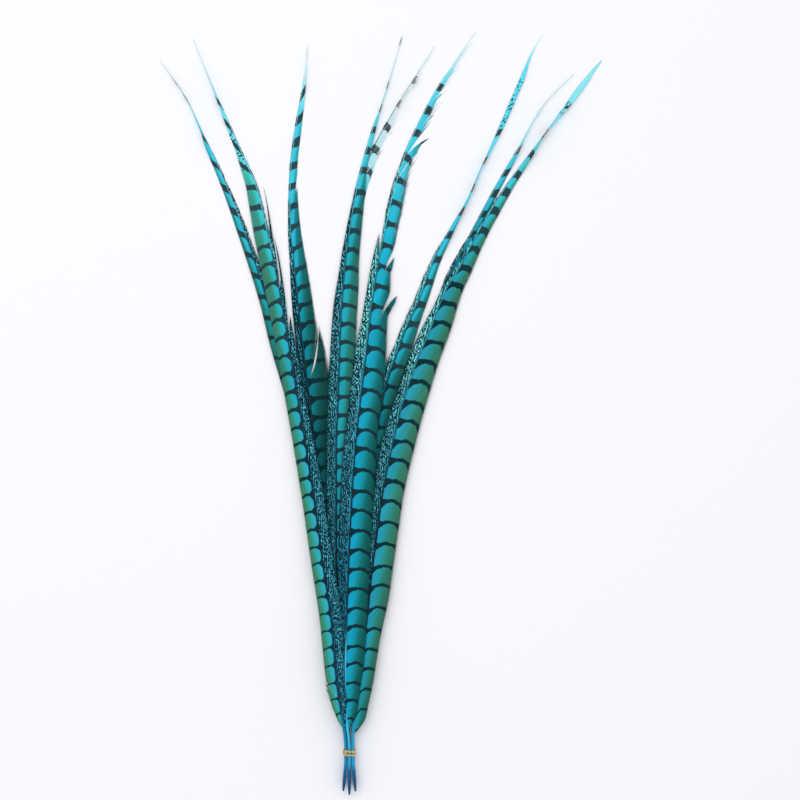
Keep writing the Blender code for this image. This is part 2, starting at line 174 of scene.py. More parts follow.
# The nine feathers, as the photo shows them. Side is the barred vane's, 1 for right and -1 for
# left. Column and row are the quill's place in the band, butt is its cut end, and layer counts
# the feathers under it. Shaft gives its X, barred and narrow the vanes' widths, and roll the
# degrees of its twist, barred edge up. Bars stand where they meet the shaft, and an arch is how
# far they bend towards the tip at the shaft and at the edge.
feathers = {
    "farLeftFeather": {
        "node": "feather_far_left", "side": -1, "column": -1, "row": 1, "butt": -38,
        "layer": [(150, 5), (600, 0)],
        "shaft": [(66, -9.5), (142, -17), (218, -25.5), (282, -35), (336, -47), (380, -58.5),
                  (434, -74), (488, -89), (583, -121.5), (628, -140), (650, -150), (669, -159),
                  (704, -175.5), (747, -205)],
        "barred": [(45, 2.5), (142, 7.6), (272, 8.6), (380, 10.3), (434, 10.8), (488, 9.2),
                   (563, 8.1), (628, 5.9), (655, 5.2), (664, 3.7), (671, 2.5), (700, 2.1),
                   (725, 1.8), (747, 1)],
        "narrow": [(45, 2), (90, 5), (142, 6.5), (380, 5.4), (563, 3.4), (595, 2.2), (628, 1.1),
                   (747, 0.6)],
        "roll": [(630, 0), (665, 45), (700, 70)],
        "bars": [82, 100, 119, 138, 157, 176, 195, 214, 233, 252, 271, 289, 308, 327, 346, 365,
                 384, 404, 425, 447, 468, 491, 514, 536, 559, 583, 608, 634, 662, 706, 722],
        "lastBar": 728,
        "arch": [(60, 0, -3), (480, -1, 0), (540, -2.5, 2.5), (600, -3, 3), (660, -4, 4)],
        "barScale": [(440, 1), (500, 1.3), (600, 1.3), (662, 1)], "barredOver": 625,
        "pale": [(40, 0), (440, 0.12), (540, 0.42), (620, 0.54), (670, 0.62), (690, 0.85),
                 (735, 1)],
        "green": [(40, 0.4), (500, 0.5), (620, 0.1)],
        "shaftLight": [(40, 0.1), (520, 0.1), (580, 0.6)],
        "frayedBarred": [(540, 0), (560, 0.04), (640, 0.04)],
        "frayedNarrow": [(480, 0.05), (540, 0.35), (620, 0.5)],
        "wornNarrow": [(480, 0), (520, 0.9), (620, 0.9), (650, 0)],
    },
    "frontLeftFeather": {
        "node": "feather_front_left", "side": -1, "column": -1, "row": 2, "butt": -41,
        "layer": [(150, 8), (600, 1), (700, 0)],
        "shaft": [(34, -7), (77, -13.5), (142, -19.5), (207, -29), (272, -38), (336, -48),
                  (401, -59), (466, -70), (520, -80), (563, -89.5), (606, -99.5), (650, -118),
                  (701, -140), (726, -151), (770, -169)],
        "barred": [(27, 2.5), (56, 10.3), (99, 12.4), (228, 13.2), (423, 14.6), (520, 16.2),
                   (585, 14), (626, 9.5), (650, 6), (673, 4.8), (714, 3.6), (770, 1)],
        "narrow": [(27, 2), (66, 8.6), (164, 12.4), (293, 11.3), (380, 8.6), (488, 6.5),
                   (514, 4.7), (542, 3.1), (563, 1.9), (590, 1.2), (650, 1), (770, 0.7)],
        "roll": [(660, 0), (690, 35), (720, 70)],
        "bars": [43, 58, 75, 94, 113, 131, 150, 168, 185, 204, 221, 240, 259, 277, 295, 315, 333,
                 350, 369, 388, 408, 427, 447, 466, 485, 505, 526, 545, 565, 587, 609, 631, 654,
                 677, 701],
        "lastBar": 712,
        "arch": [(60, 1, -3), (160, 1, -3), (440, 1.5, -5), (525, 1, -7), (567, 2, -2),
                 (610, 0, 0), (628, -5, 5), (660, -6, 6), (700, -4, 4)],
        "barScale": [(60, 0.62), (180, 0.7), (320, 0.95), (470, 0.95), (520, 0.8), (620, 0.85),
                     (650, 1.25), (690, 1.25)], "barredOver": 622,
        "flareShaft": [(60, 4.5), (300, 5), (470, 4.5), (520, 2.5), (620, 1.5)], "flareUp": 0.7,
        "strip": [(0, 1), (700, 1)],
        "pale": [(40, 0.02), (300, 0.06), (400, 0.2), (480, 0.36), (560, 0.48), (600, 0.52),
                 (618, 0.58), (640, 0.68), (690, 0.78), (760, 1)],
        "green": [(40, 1), (500, 1), (620, 0.9), (660, 0)],
        "cyanShift": [(440, 0), (500, 0.2), (620, 0.25)],
        "paintedShading": [(40, 1.35), (330, 1.3), (420, 1.1), (600, 1.08), (650, 1)],
        "specks": [(622, 0), (632, 1), (668, 1), (676, 0)],
        "shaftLight": [(40, 0), (520, 0.2), (570, 0.8)],
        "besideShaft": [(40, -0.6), (500, -0.5), (550, 0.4)],
        "marbleLight": [(40, 0.15), (500, 0.35), (560, 0.9)],
        "tufts": [{"vane": -1, "roots": (498, 544), "from": (6.8, 586), "to": (7.8, 611),
                   "bend": 0.5, "broad": 1.6},
                  {"vane": -1, "roots": (450, 490), "from": (7, 538), "to": (6.6, 556), "bend": 0,
                   "broad": 1.6}],
        "frayedBarred": [(40, 0.1), (85, 0.06), (100, 0), (620, 0), (680, 0.1)],
        "frayedNarrow": [(500, 0.05), (560, 0.3), (620, 0.5)],
        "wornNarrow": [(500, 0), (530, 1), (620, 0.8), (660, 0)],
        "strays": [(44, 0), (48, 0.4), (58, 0.4), (62, 0)], "strayReach": (0.8, 3.2),
    },
    "innerLeftFeather": {
        "node": "feather_inner_left", "side": 1, "column": -1, "row": 0, "butt": -36,
        "layer": [(150, 2), (600, 0)],
        "shaft": [(56, -5), (110, -10.5), (164, -15.5), (218, -22), (272, -29), (336, -37.5),
                  (401, -45.5), (466, -53.5), (520, -59.2), (563, -63.5), (596, -64.3),
                  (628, -63.4), (671, -58.3), (714, -51), (736, -48), (763, -45.5)],
        "barred": [(45, 2.5), (164, 13), (272, 16), (345, 20), (400, 25.6), (417, 25.6),
                   (434, 23.4), (458, 20.2), (466, 17.4), (498, 15.8), (542, 12.8), (585, 9.6),
                   (628, 7.2), (671, 6.5), (714, 3.8), (763, 1)],
        "narrow": [(45, 2), (80, 6), (164, 7.6), (400, 8), (466, 7.5), (498, 6.6), (530, 4.6),
                   (563, 3), (606, 1.8), (693, 1.3), (763, 0.6)],
        "roll": [(690, 0), (720, 30), (745, 60)],
        "bars": [69, 87, 105, 124, 142, 160, 179, 197, 215, 234, 252, 271, 289, 307, 326, 344, 361,
                 382, 401, 422, 443, 463, 483, 502, 522, 545, 568, 589, 611, 633, 658, 684, 712],
        "lastBar": 722,
        "arch": [(60, -1, 1), (400, -1.5, 1.5), (444, -4, 3), (488, -3.5, 3.5), (545, -4, 4),
                 (566, -3.5, 4), (590, -2, 2), (640, -1.5, 1.5), (660, -2, 2), (684, -4, 4),
                 (714, -5, 5)],
        "barScale": [(60, 1), (610, 1), (655, 1.3), (712, 1.4)], "barredOver": 590,
        "steep": [(300, 1), (360, 1.45), (470, 1.45), (540, 1)],
        "flareShaft": [(60, 5), (420, 4), (520, 3), (600, 1.5)], "flareUp": 0.4,
        "strip": [(0, 0.7), (700, 0.7)],
        "pale": [(40, 0), (420, 0.02), (480, 0.16), (540, 0.4), (590, 0.48), (630, 0.56),
                 (680, 0.62), (710, 0.8), (750, 1)],
        "green": [(40, 0), (520, 0.1), (600, 0)],
        # here the colours' shift and the painted shading darken the cells as painted shade, where
        # this feather lies under the others
        "cyanShift": [(330, 0.27), (440, 0.22), (560, 0.16), (610, 0.04)],
        "paintedShading": [(150, 0.3), (330, 0.4), (400, 0.66), (440, 0.72), (480, 0.95), (560, 1)],
        "shaftLight": [(40, 0.1), (520, 0.2), (600, 0.7)],
        "besideShaft": [(40, -0.9), (500, -0.9), (530, -0.1), (600, 0.3)],
        "marbleLight": [(40, 0.1), (480, 0.2), (540, 0.6)],
        "splits": [{"root": 397, "open": 0.5, "reach": 4,
                    "above": [(400, 5), (405, 6.6), (410, 8.3), (420, 11.3), (429, 13.8),
                              (439, 16.2), (449, 17.8), (464, 19), (480, 17.4), (500, 15.8)]},
                   {"root": 586, "open": 0.8, "reach": 3,
                    "above": [(600, 5.8), (613, 6.4), (622, 7.2)]}],
        "tufts": [{"vane": 1, "roots": (376, 385.9), "from": (24, 431), "to": (22.2, 446.3)},
                  {"vane": 1, "roots": (386, 397), "from": (22.2, 446.3), "to": (20.2, 461),
                   "bend": 6.3, "hook": 0.9, "broad": 2.2},
                  {"vane": 1, "roots": (582, 586), "from": (8.4, 603), "to": (8, 611)}],
        "frayedBarred": [(600, 0), (680, 0.08)],
    },
    "centreLeftFeather": {
        "node": "feather_centre_left", "side": 1, "column": 0, "row": 1, "butt": -43,
        "layer": [(150, 4), (600, 1), (700, 0)],
        "shaft": [(56, -5), (110, -9), (164, -13), (218, -14.5), (326, -14.5), (380, -12.5),
                  (466, -9.5), (520, -5.5), (563, 0), (606, 7.5), (639, 15.7), (671, 24.8),
                  (697, 34), (736, 46), (774, 57)],
        "barred": [(45, 2.5), (164, 10.8), (272, 16), (380, 17.8), (488, 17.8), (542, 14.6),
                   (585, 12), (606, 9.6), (617, 8.2), (633, 5.8), (650, 4.8), (671, 4.2),
                   (690, 2.6), (704, 2), (736, 1.8), (774, 0.8)],
        "narrow": [(45, 2), (90, 6), (164, 8.6), (347, 11), (400, 11), (430, 10.5), (466, 9.5),
                   (488, 8.6), (520, 5.8), (563, 3.8), (606, 1.9), (671, 1.3), (774, 0.6)],
        "roll": [(640, 0), (671, 30), (700, 70)],
        "bars": [71, 89, 107, 126, 144, 163, 181, 199, 218, 236, 254, 271, 289, 308, 326, 345, 363,
                 383, 403, 423, 442, 462, 482, 502, 522, 542, 562, 584, 604, 628, 649, 671, 695,
                 719, 767],
        "arch": [(60, -1, -4), (350, 0, -5), (560, 0, -4), (620, 0, -2), (670, 0, -1)],
        "barredOver": 600,
        "pale": [(40, 0.05), (300, 0.28), (430, 0.32), (540, 0.32), (585, 0.44), (618, 0.5),
                 (650, 0.62), (680, 0.66), (705, 0.85), (760, 1)],
        "green": [(40, 0.3), (300, 0.65), (460, 0.6), (560, 0.3), (640, 0.2)],
        "cyanShift": [(40, 0.08), (300, 0.13), (500, 0.13), (700, 0.08)],
        "paintedShading": [(200, 0.75), (420, 0.9), (520, 1)],
        "shaftLight": [(100, 0), (260, 0.1), (500, 0.25), (620, 0.75)],
        "besideShaft": [(40, 0.4), (450, 0.35), (560, -0.4)],
        "marbleLight": [(40, 0.15), (300, 0.3), (560, 0.5)],
        "frayedBarred": [(580, 0), (640, 0.05), (700, 0.06)],
    },
    "behindCentreFeather": {
        "node": "feather_behind_centre", "side": 1, "column": 0, "row": 0, "butt": -39,
        "layer": [(150, 1), (600, 0)],
        "shaft": [(56, -2), (110, -4.3), (164, -6.5), (272, -7.5), (380, -6.5), (466, -4.3),
                  (520, -1.5), (563, 3), (606, 10.5), (633, 18.5), (650, 25), (682, 42.3),
                  (704, 55), (725, 68.6), (762, 92.3)],
        "barred": [(45, 2.5), (164, 9.7), (380, 11.9), (488, 10.8), (596, 8), (627, 8.5),
                   (650, 8.4), (671, 6.8), (704, 4.8), (725, 4.3), (762, 1)],
        "narrow": [(45, 2), (90, 5), (164, 6.5), (380, 6.5), (542, 4.3), (633, 2.2), (704, 1.3),
                   (762, 0.6)],
        "roll": [(670, 0), (704, 60), (722, 40), (740, 65)],
        "bars": [86, 107, 129, 151, 172, 194, 215, 237, 259, 280, 302, 323, 345, 367, 388, 410,
                 431, 453, 475, 496, 518, 539, 561, 583, 604, 627, 650, 674, 699, 725],
        "lastBar": 732,
        "arch": [(60, 0, -3), (560, 0, -3), (600, 1.5, -4), (640, 2, -4.5), (674, 2, -3),
                 (700, 1, -1)],
        "barredOver": 600,
        "pale": [(40, 0), (560, 0.2), (595, 0.5), (620, 0.78), (650, 0.9), (690, 0.97)],
        "green": [(40, 0.3), (560, 0.2)],
        "paintedShading": [(200, 0.5), (420, 0.6), (560, 0.95)],
        "shaftLight": [(40, 0.1), (600, 0), (740, 0)],
        "frayedBarred": [(590, 0), (620, 0.2), (740, 0.2)],
        "wornBarred": [(580, 0), (610, 1.2), (690, 1.2)],
        "strays": [(600, 0), (625, 0.25), (680, 0.1)],
        "sparse": [(585, 0), (605, 0.25), (700, 0.3), (712, 0.7)],
    },
    "frontCentreFeather": {
        "node": "feather_front_centre", "side": 1, "column": 0, "row": 2, "butt": -45,
        "layer": [(150, 7), (440, 4), (600, 0)],
        "shaft": [(43, -3.8), (77, -4.5), (120, -3.6), (185, -1.6), (261, 1.8), (326, 6),
                  (390, 13), (434, 18.4), (477, 23.2), (520, 29.7), (563, 38.3), (606, 48),
                  (650, 62), (671, 71.3), (714, 93.4), (740, 110.7), (776, 134.5)],
        "barred": [(25, 2.5), (43, 11.9), (77, 17.8), (99, 20.8), (142, 22.7), (304, 24.5),
                   (347, 23.2), (412, 23.8), (455, 20.5), (475, 19.4), (498, 18.4), (529, 14.6),
                   (563, 14), (606, 12.4), (628, 9.9), (647, 9.5), (667, 9.2), (693, 7.6),
                   (714, 5.9), (740, 4.3), (776, 1)],
        "narrow": [(25, 2), (66, 7.6), (164, 10.8), (293, 13), (434, 12.4), (477, 8.6), (542, 7),
                   (585, 3.2), (650, 1.6), (776, 0.6)],
        "roll": [(720, 0), (750, 30)],
        "bars": [57, 76, 97, 115, 137, 156, 177, 198, 218, 239, 261, 281, 304, 327, 347, 369, 390,
                 412, 435, 458, 480, 502, 523, 546, 569, 592, 616, 641, 667, 692, 717],
        "lastBar": 725,
        "arch": [(60, -0.5, -3), (97, -3, -3.5), (116, -2.5, -4), (136, -3.5, -4.5), (160, -3, -5),
                 (240, -1, -6), (300, 0, -7), (400, 0, -8), (455, 1, -7), (480, 1.5, -3),
                 (525, 2, -5), (546, 2, -4), (592, 2, -4.5), (617, 3, -5), (641, 3, -5),
                 (667, 2, -2.5), (692, 2, -2), (717, 1.5, -1.5)],
        "barredOver": 640,
        "flareShaft": [(60, 1.5), (160, 3), (300, 5.5), (520, 5.5), (600, 1.5)],
        "flareEdge": [(60, 0.5), (200, 2), (300, 7), (440, 8), (520, 2), (600, 0)],
        "flareUp": 0.25, "strip": [(0, 1.1), (700, 1.1)],
        "pale": [(40, 0), (260, 0.05), (380, 0.16), (450, 0.22), (560, 0.4), (620, 0.52),
                 (700, 0.62), (724, 0.72), (745, 0.88), (776, 1)],
        "cyanShift": [(490, 0), (540, -0.2), (660, -0.2), (720, 0)],
        "shaftLight": [(40, 1), (108, 1), (124, 0.5), (142, 0.12), (300, 0.15), (520, 0.4),
                       (580, 0.95)],
        "besideShaft": [(40, 0.1), (160, 0.12), (230, 0.5), (440, 0.7), (560, 0.2)],
        "marbleLight": [(40, 0), (200, 0.05), (270, 0.2), (350, 0.3), (400, 0.5), (450, 0.95)],
        "splits": [{"root": 446.5, "open": 1.6, "reach": 5,
                    "above": [(455, 13.2), (479, 13.5), (485.5, 15.3), (491, 16.7), (496, 18),
                              (509, 18.2), (518, 17.2), (524, 16.5)]},
                   {"root": 500.5, "open": 0.6, "reach": 3,
                    "above": [(515, 9.4), (528.7, 9.6), (533, 10.7), (537, 12), (541.6, 13.3),
                              (547, 13.9)]},
                   {"root": 598.5, "open": 0.3, "reach": 2},
                   {"root": 641, "open": 1.6, "reach": 3,
                    "above": [(646, 3.6), (656, 5.2), (661.5, 6.1), (664, 8), (670, 9.3)]},
                   {"root": 660.5, "open": 1.3, "reach": 2},
                   {"root": 691.5, "open": 1.2, "reach": 2}],
        "tufts": [{"vane": 1, "roots": (429, 440), "from": (20.4, 474), "to": (26.3, 487.4)},
                  {"vane": 1, "roots": (440.2, 446.5), "from": (25, 485.5), "to": (27, 492)},
                  {"vane": 1, "roots": (486, 500.5), "from": (16.4, 521), "to": (16.7, 534)},
                  {"vane": 1, "roots": (595, 598.5), "from": (12, 635), "to": (13.6, 639)},
                  {"vane": 1, "roots": (617, 634), "from": (11.2, 644), "to": (13.2, 654.5),
                   "bend": 1.7},
                  {"vane": 1, "roots": (634.1, 641), "from": (13.4, 655), "to": (17.9, 660.8),
                   "bend": 1.7},
                  {"vane": 1, "roots": (656.5, 660.5), "from": (10, 684), "to": (11.7, 687.5)},
                  {"vane": 1, "roots": (688, 691.5), "from": (8.2, 707), "to": (9.2, 709.5)},
                  {"vane": -1, "roots": (540, 569), "from": (3.4, 585), "to": (3.6, 634),
                   "bend": 0.4}],
        "frayedBarred": [(540, 0), (570, 0.03), (640, 0.04), (700, 0.06), (722, 0.7)],
        "frayedNarrow": [(530, 0.05), (600, 0.6), (640, 0.6)],
        "wornBarred": [(520, 0), (545, 1), (620, 0.9), (640, 0.4)],
        "wornNarrow": [(520, 0), (550, 0.8), (620, 0.8), (660, 0)],
        "fringe": [(520, 0), (545, 0.07), (610, 0.07), (640, 0.05)],
        "strays": [(530, 0), (550, 0.22), (640, 0.22), (690, 0.12), (705, 0.3), (735, 0.3)],
        "strayGrowth": [(600, 0.4), (650, 0.6), (700, 1)],
        "sparse": [(722, 0), (732, 0.35), (750, 0.5), (776, 0.7)],
    },
    "innerRightFeather": {
        "node": "feather_inner_right", "side": 1, "column": 1, "row": 1, "butt": -42,
        "layer": [(150, 3), (600, 0)],
        "shaft": [(56, 3), (110, 4), (164, 6), (218, 9.5), (272, 15.7), (326, 24.3), (363, 32),
                  (398, 39.8), (423, 48.6), (455, 60.3), (488, 75), (531, 91.3), (563, 108.2),
                  (596, 127), (628, 141), (671, 160.4), (714, 178.7), (751, 195), (776, 209)],
        "barred": [(45, 2.5), (164, 10.8), (326, 14), (434, 15.1), (488, 10.3), (542, 7.6),
                   (574, 5.9), (606, 5.4), (650, 4.5), (693, 5.5), (725, 5.5), (745, 2.6),
                   (757, 1.1), (776, 0.6)],
        "narrow": [(45, 2), (90, 5), (164, 6.5), (423, 7.6), (444, 5.6), (488, 5), (531, 3),
                   (552, 1.4), (776, 0.6)],
        "roll": [(530, 0), (563, 30), (596, 70), (625, 78), (650, 50), (675, 15)],
        "bars": [70, 91, 113, 134, 156, 178, 199, 221, 242, 264, 286, 307, 329, 350, 372, 394, 416,
                 438, 462, 482, 507, 531, 558, 583, 608, 638, 668],
        "lastBar": 676, "arch": [(60, 0, -3), (400, 0, -2), (560, 0, 0), (660, -1, 1)],
        "barScale": [(380, 1), (450, 1.3), (510, 1.55), (600, 1.4), (640, 1)], "barredOver": 548,
        "flareShaft": [(60, 4), (480, 5), (560, 1.5)], "flareUp": 0.5,
        "pale": [(40, 0), (380, 0.08), (440, 0.3), (500, 0.42), (560, 0.52), (640, 0.66),
                 (735, 0.68), (776, 1)],
        "green": [(40, 0.2), (520, 0.2), (580, 0)],
        "cyanShift": [(380, 0.1), (440, 0.16), (500, 0)],
        "paintedShading": [(200, 0.5), (380, 0.66), (430, 1.05), (520, 1.1)],
        "specks": [(662, 0), (672, 1), (722, 1), (732, 0)],
        "shaftLight": [(200, 0.1), (500, 0.4), (560, 0.7)],
        "besideShaft": [(40, 0.2), (380, 0.5), (500, 0.7)],
        "marbleLight": [(40, 0.2), (380, 0.5), (450, 0.9)],
        "frayedNarrow": [(440, 0.05), (520, 0.5), (560, 0.5)],
        "wornNarrow": [(420, 0), (450, 0.8), (530, 0.8), (560, 0)],
    },
    "behindRightFeather": {
        "node": "feather_behind_right", "side": 1, "column": 1, "row": 0, "butt": -37,
        "layer": [(150, 0), (600, 0)],
        "shaft": [(56, 5), (110, 9), (164, 14.6), (218, 21), (272, 28.6), (304, 34), (347, 43),
                  (384, 54), (417, 65.3), (455, 81.5), (488, 98.8), (520, 111), (563, 133.4),
                  (606, 156), (651, 182), (700, 211), (733, 243.5)],
        "barred": [(45, 2.5), (164, 13), (347, 17), (455, 13), (542, 8.6), (606, 6.5), (650, 4.9),
                   (704, 4), (733, 1)],
        "narrow": [(45, 2), (90, 5), (380, 4.9), (500, 4.3), (536, 2.5), (560, 1.6), (606, 1.4),
                   (733, 0.6)],
        "roll": [(625, 0), (650, 50), (665, 75)],
        "bars": [84, 105, 127, 148, 170, 192, 213, 235, 256, 278, 300, 321, 343, 364, 386, 408,
                 429, 451, 473, 494, 516, 537, 559, 580, 603, 625, 650],
        "lastBar": 655, "arch": [(60, 0, -3), (560, 0, -1), (600, 0, 0), (650, -2, 2)],
        "barScale": [(500, 1), (560, 1.3), (620, 1.2)], "barredOver": 556,
        "pale": [(40, 0), (540, 0.25), (600, 0.5), (640, 0.6), (668, 0.8), (700, 0.95), (733, 1)],
        "green": [(40, 0.3), (540, 0.2), (600, 0)],
        "paintedShading": [(200, 0.5), (460, 0.6), (560, 1)],
        "shaftLight": [(200, 0.1), (500, 0.3), (560, 0.7)],
        "frayedNarrow": [(500, 0.05), (530, 0.3), (560, 0.1)],
        "wornNarrow": [(470, 0), (500, 0.9), (536, 0.9), (552, 0)],
        "sparse": [(630, 0), (652, 0.6)],
    },
    "frontRightFeather": {
        "node": "feather_front_right", "side": 1, "column": 1, "row": 2, "butt": -40,
        "layer": [(150, 6), (600, 1), (700, 0)],
        "shaft": [(40, 4.9), (77, 10.3), (153, 20), (185, 23.2), (239, 30.2), (282, 36.2),
                  (326, 45.4), (363, 54), (390, 62), (423, 73.4), (455, 87), (498, 103.7),
                  (520, 117.2), (563, 140), (606, 166.3), (650, 198), (693, 229.5), (714, 244),
                  (736, 262), (747, 272.7)],
        "barred": [(20, 2.5), (27, 9), (45, 14.4), (77, 16.2), (120, 17.3), (185, 22.8),
                   (282, 23.8), (380, 26), (434, 24.3), (498, 19.4), (542, 13.5), (585, 11.3),
                   (628, 7.6), (650, 6.5), (682, 6), (714, 8), (736, 4.3), (747, 1)],
        "narrow": [(25, 2), (66, 6.5), (164, 10.8), (282, 10), (326, 13), (401, 9.7), (453, 10.3),
                   (488, 5.4), (520, 4.2), (545, 3), (565, 2), (594, 1.4), (612, 1.1), (747, 0.6)],
        "roll": [(620, 0), (650, 50), (668, 80), (690, 40), (714, 10)],
        "bars": [47, 69, 91, 112, 134, 157, 181, 201, 225, 248, 271, 292, 315, 335, 357, 377, 400,
                 421, 442, 463, 484, 504, 522, 543, 562, 584, 604, 623, 645, 666, 695],
        "lastBar": 705, "broken": [(678, 0), (684, 1)],
        "arch": [(50, -9, -1), (72, -7, -1), (91, -3, -2), (112, -3, -3), (157, -5, -3.5),
                 (225, -2, -4), (290, 0, -7), (400, 0, -8), (440, 0, -5), (520, 1, -5),
                 (580, 1.5, -4.5), (640, 1.5, -4), (666, 1, -3)],
        "barScale": [(440, 1), (520, 1.2), (610, 1.2), (640, 1), (690, 1.7)], "barredOver": 612,
        "flareShaft": [(60, 3), (225, 4), (300, 6), (520, 5), (600, 1.5)],
        "flareEdge": [(60, 0.5), (200, 2), (270, 8), (420, 9), (500, 2.5), (600, 0)],
        "flareUp": 0.2, "strip": [(290, 1), (360, 0.2), (500, 0.2), (530, 1.1)],
        "pale": [(40, 0), (500, 0.05), (545, 0.3), (590, 0.48), (650, 0.66), (690, 0.8),
                 (740, 0.82)],
        "green": [(40, 0.4), (150, 0.75), (300, 1), (500, 1), (620, 0.9), (680, 0.3)],
        "shaftLight": [(30, 0.4), (60, 0), (250, 0), (300, 0.15), (390, 0.7)],
        "besideShaft": [(40, -0.8), (250, -0.5), (310, 0.3), (440, 0.5), (560, 0.2)],
        "marbleLight": [(40, 0.2), (280, 0.3), (360, 0.45), (440, 0.9), (560, 0.9)],
        "frayedNarrow": [(480, 0.05), (560, 0.5), (600, 0.4)],
        "wornNarrow": [(470, 0), (500, 0.6), (590, 0.6), (620, 0)],
    },
}


def shaftX(feather, y):
    gripped = feather["column"] * bunch["quillPitch"]
    grip = [(feather["butt"], gripped * bunch["endSplay"]), (-bunch["grippedTo"], gripped),
            (bunch["grippedTo"], gripped)]
    return smooth(grip + feather["shaft"], y)


def shaftZ(feather, y):
    middle = bunch["bandWall"] + bunch["bandGap"] + bunch["quillRadius"] + bunch["quillPitch"]
    gripped = middle + (feather["row"] - 1) * bunch["quillPitch"]
    splay = 1 + (bunch["rowEndSplay"] - 1) * easeIn(-bunch["grippedTo"], feather["butt"], y)
    gripped = middle + (gripped - middle) * splay
    layered = smooth(feather["layer"], y) * smooth(bunch["layerStep"], y)
    fanned = smooth(bunch["shaftRadius"], y) + smooth(bunch["lowestLift"], y) + layered
    onItsEdge = smooth(feather["narrow"], y) * np.sin(np.radians(smooth(feather["roll"], y)))
    freed = easeIn(bunch["grippedTo"], bunch["fannedFrom"], y)
    return gripped + (fanned + onItsEdge - gripped) * freed


bedSize = {"low": -16.0, "high": 32.0, "columns": 13, "rowGap": 2.0}


def layBed(feather):
    # The surface that the barbs lie on: across it from the narrow side to the barred side, and
    # along it from the quill's end to the tip, with both also as its UV map.
    low, high = feather["butt"], feather["barred"][-1][0]
    along = np.linspace(low, high, int((high - low) / bedSize["rowGap"]) + 1)
    across = np.linspace(bedSize["low"], bedSize["high"], bedSize["columns"])
    roll = np.radians(smooth(feather["roll"], along))[:, None]
    points = np.empty((len(along), len(across), 3))
    points[..., 0] = shaftX(feather, along)[:, None] + feather["side"] * across * np.cos(roll)
    points[..., 1] = along[:, None]
    points[..., 2] = shaftZ(feather, along)[:, None] + across * np.sin(roll)
    count = len(across)
    faces = [(r * count + c, r * count + c + 1, (r + 1) * count + c + 1, (r + 1) * count + c)
             for r in range(len(along) - 1) for c in range(count - 1)]
    if feather["side"] < 0:
        faces = [face[::-1] for face in faces]
    mesh = bpy.data.meshes.new("bed")
    mesh.from_pydata((points.reshape(-1, 3) * mm).tolist(), [], faces)
    u, v = np.meshgrid(np.linspace(0, 1, count), np.linspace(0, 1, len(along)))
    spots = np.stack([u.ravel(), v.ravel()], 1)[[k for face in faces for k in face]]
    mesh.uv_layers.new(name="bedMap").uv.foreach_set("vector", spots.astype(np.float32).ravel())
    return addObject("bed", mesh)


def layShaftLine(feather):
    # The shaft's middle line, with its radius as an attribute for the tree to sweep.
    tip = feather["barred"][-1][0]
    # points stand close together at the grip and 6 mm apart in the fan
    along = np.concatenate([np.linspace(feather["butt"], 40, 30), np.arange(46, tip, 6.0), [tip]])
    points = np.stack([shaftX(feather, along), along, shaftZ(feather, along)], 1) * mm
    radius = smooth(bunch["shaftRadius"], along) * mm
    radius[-1] *= 0.3  # the hair at the tip
    radius *= 0.6 + 0.4 * easeIn(0, 7, along - feather["butt"])  # quills narrow to their ends
    return addGuide("shaftLine", points.tolist(), [(k, k + 1) for k in range(len(along) - 1)],
                    {"thick": radius})


def smoothNoise(source, count, width):
    # Random values that change slowly from barb to barb, about as large as 1.
    kernel = np.hanning(2 * width + 1)
    values = np.convolve(source.standard_normal(count + 2 * width), kernel, "same")[width:-width]
    return values / np.sqrt((kernel ** 2).sum())


# How barbs differ from their neighbours: lengths are in mm and shares are of a barb's length.
barbHabits = {
    "seed": 40, "sway": 0.25, "lift": 0.1,
    "shorter": 0.01, "frayedShorter": 0.3,
    "hookedTo": 0.985, "looser": 0.02, "frayedLooser": 0.45,
    "toothTurn": 0.8, "tuftHookedTo": 0.93, "tuftCarriesBars": 0.85,
    "strayTurn": 1.3, "strayLooser": 0.03,
    "fringeSway": 3.0, "frayedSway": 1.5, "frayedJitter": 0.8, "frayedGone": 0.15,
    # the seams are painted shade: a few barbs darkened where their hooks let go, standing for the
    # shade in the gap
    "fineTone": 0.45, "broadTone": 0.6, "seamShare": 0.012, "seamShadowTone": 4.0,
}


def layBarbs(feather, kind):
    # A vane's barbs, from their roots at the shaft to its outline. Each barb's bend is its
    # slope where it leaves the shaft, over its mean slope.
    start, tip = feather["barred"][0][0] + 1, feather["barred"][-1][0]
    root = np.arange(start, tip - 2, bunch["barbSpacing"])
    steep = smooth(feather["steep"], root)
    leave = smooth(bunch[kind + "Leave"], root) * steep
    spread = (leave + smooth(bunch[kind + "Tip"], root) * steep) / 2
    wide = smooth(feather[kind], root + 10)
    for _ in range(3):  # closer each time to the vane's width where the barb ends
        wide = smooth(feather[kind], root + spread * wide)
    near = 12  # evened out over so many barbs to either side
    even = np.full(2 * near + 1, 1 / (2 * near + 1))
    wide = np.convolve(np.pad(wide, near, "edge"), even, "valid")
    advance = np.minimum(spread * wide, tip - 1 - root)
    return {"root": root, "base": smooth(bunch["shaftRadius"], root) * bunch["rootedAt"],
            "reach": smooth(feather[kind], root + advance), "advance": advance,
            "bend": leave / spread, "slip": np.zeros(len(root)), "broad": np.ones(len(root))}


def endBarbs(barbs, t):
    # Ends each barb at this share of its own curve, or draws the curve on past its end.
    advance = barbs["advance"] * (t * t * (1 - barbs["bend"]) + t * barbs["bend"])
    return {**barbs, "reach": barbs["base"] + t * (barbs["reach"] - barbs["base"]),
            "bend": barbs["advance"] * t * barbs["bend"] / advance, "advance": advance}


def trimBarbs(barbs, edge):
    # Ends each barb where its own curve meets this edge, found to a hundredth of its length.
    t = np.linspace(0.04, 1.0, 97)[:, None]
    across = barbs["base"] + t * (barbs["reach"] - barbs["base"])
    along = barbs["root"] + barbs["advance"] * (t * t * (1 - barbs["bend"]) + t * barbs["bend"])
    past = across > smooth(edge, along)
    return endBarbs(barbs, np.where(past.any(0), t[past.argmax(0), 0], 1.0))


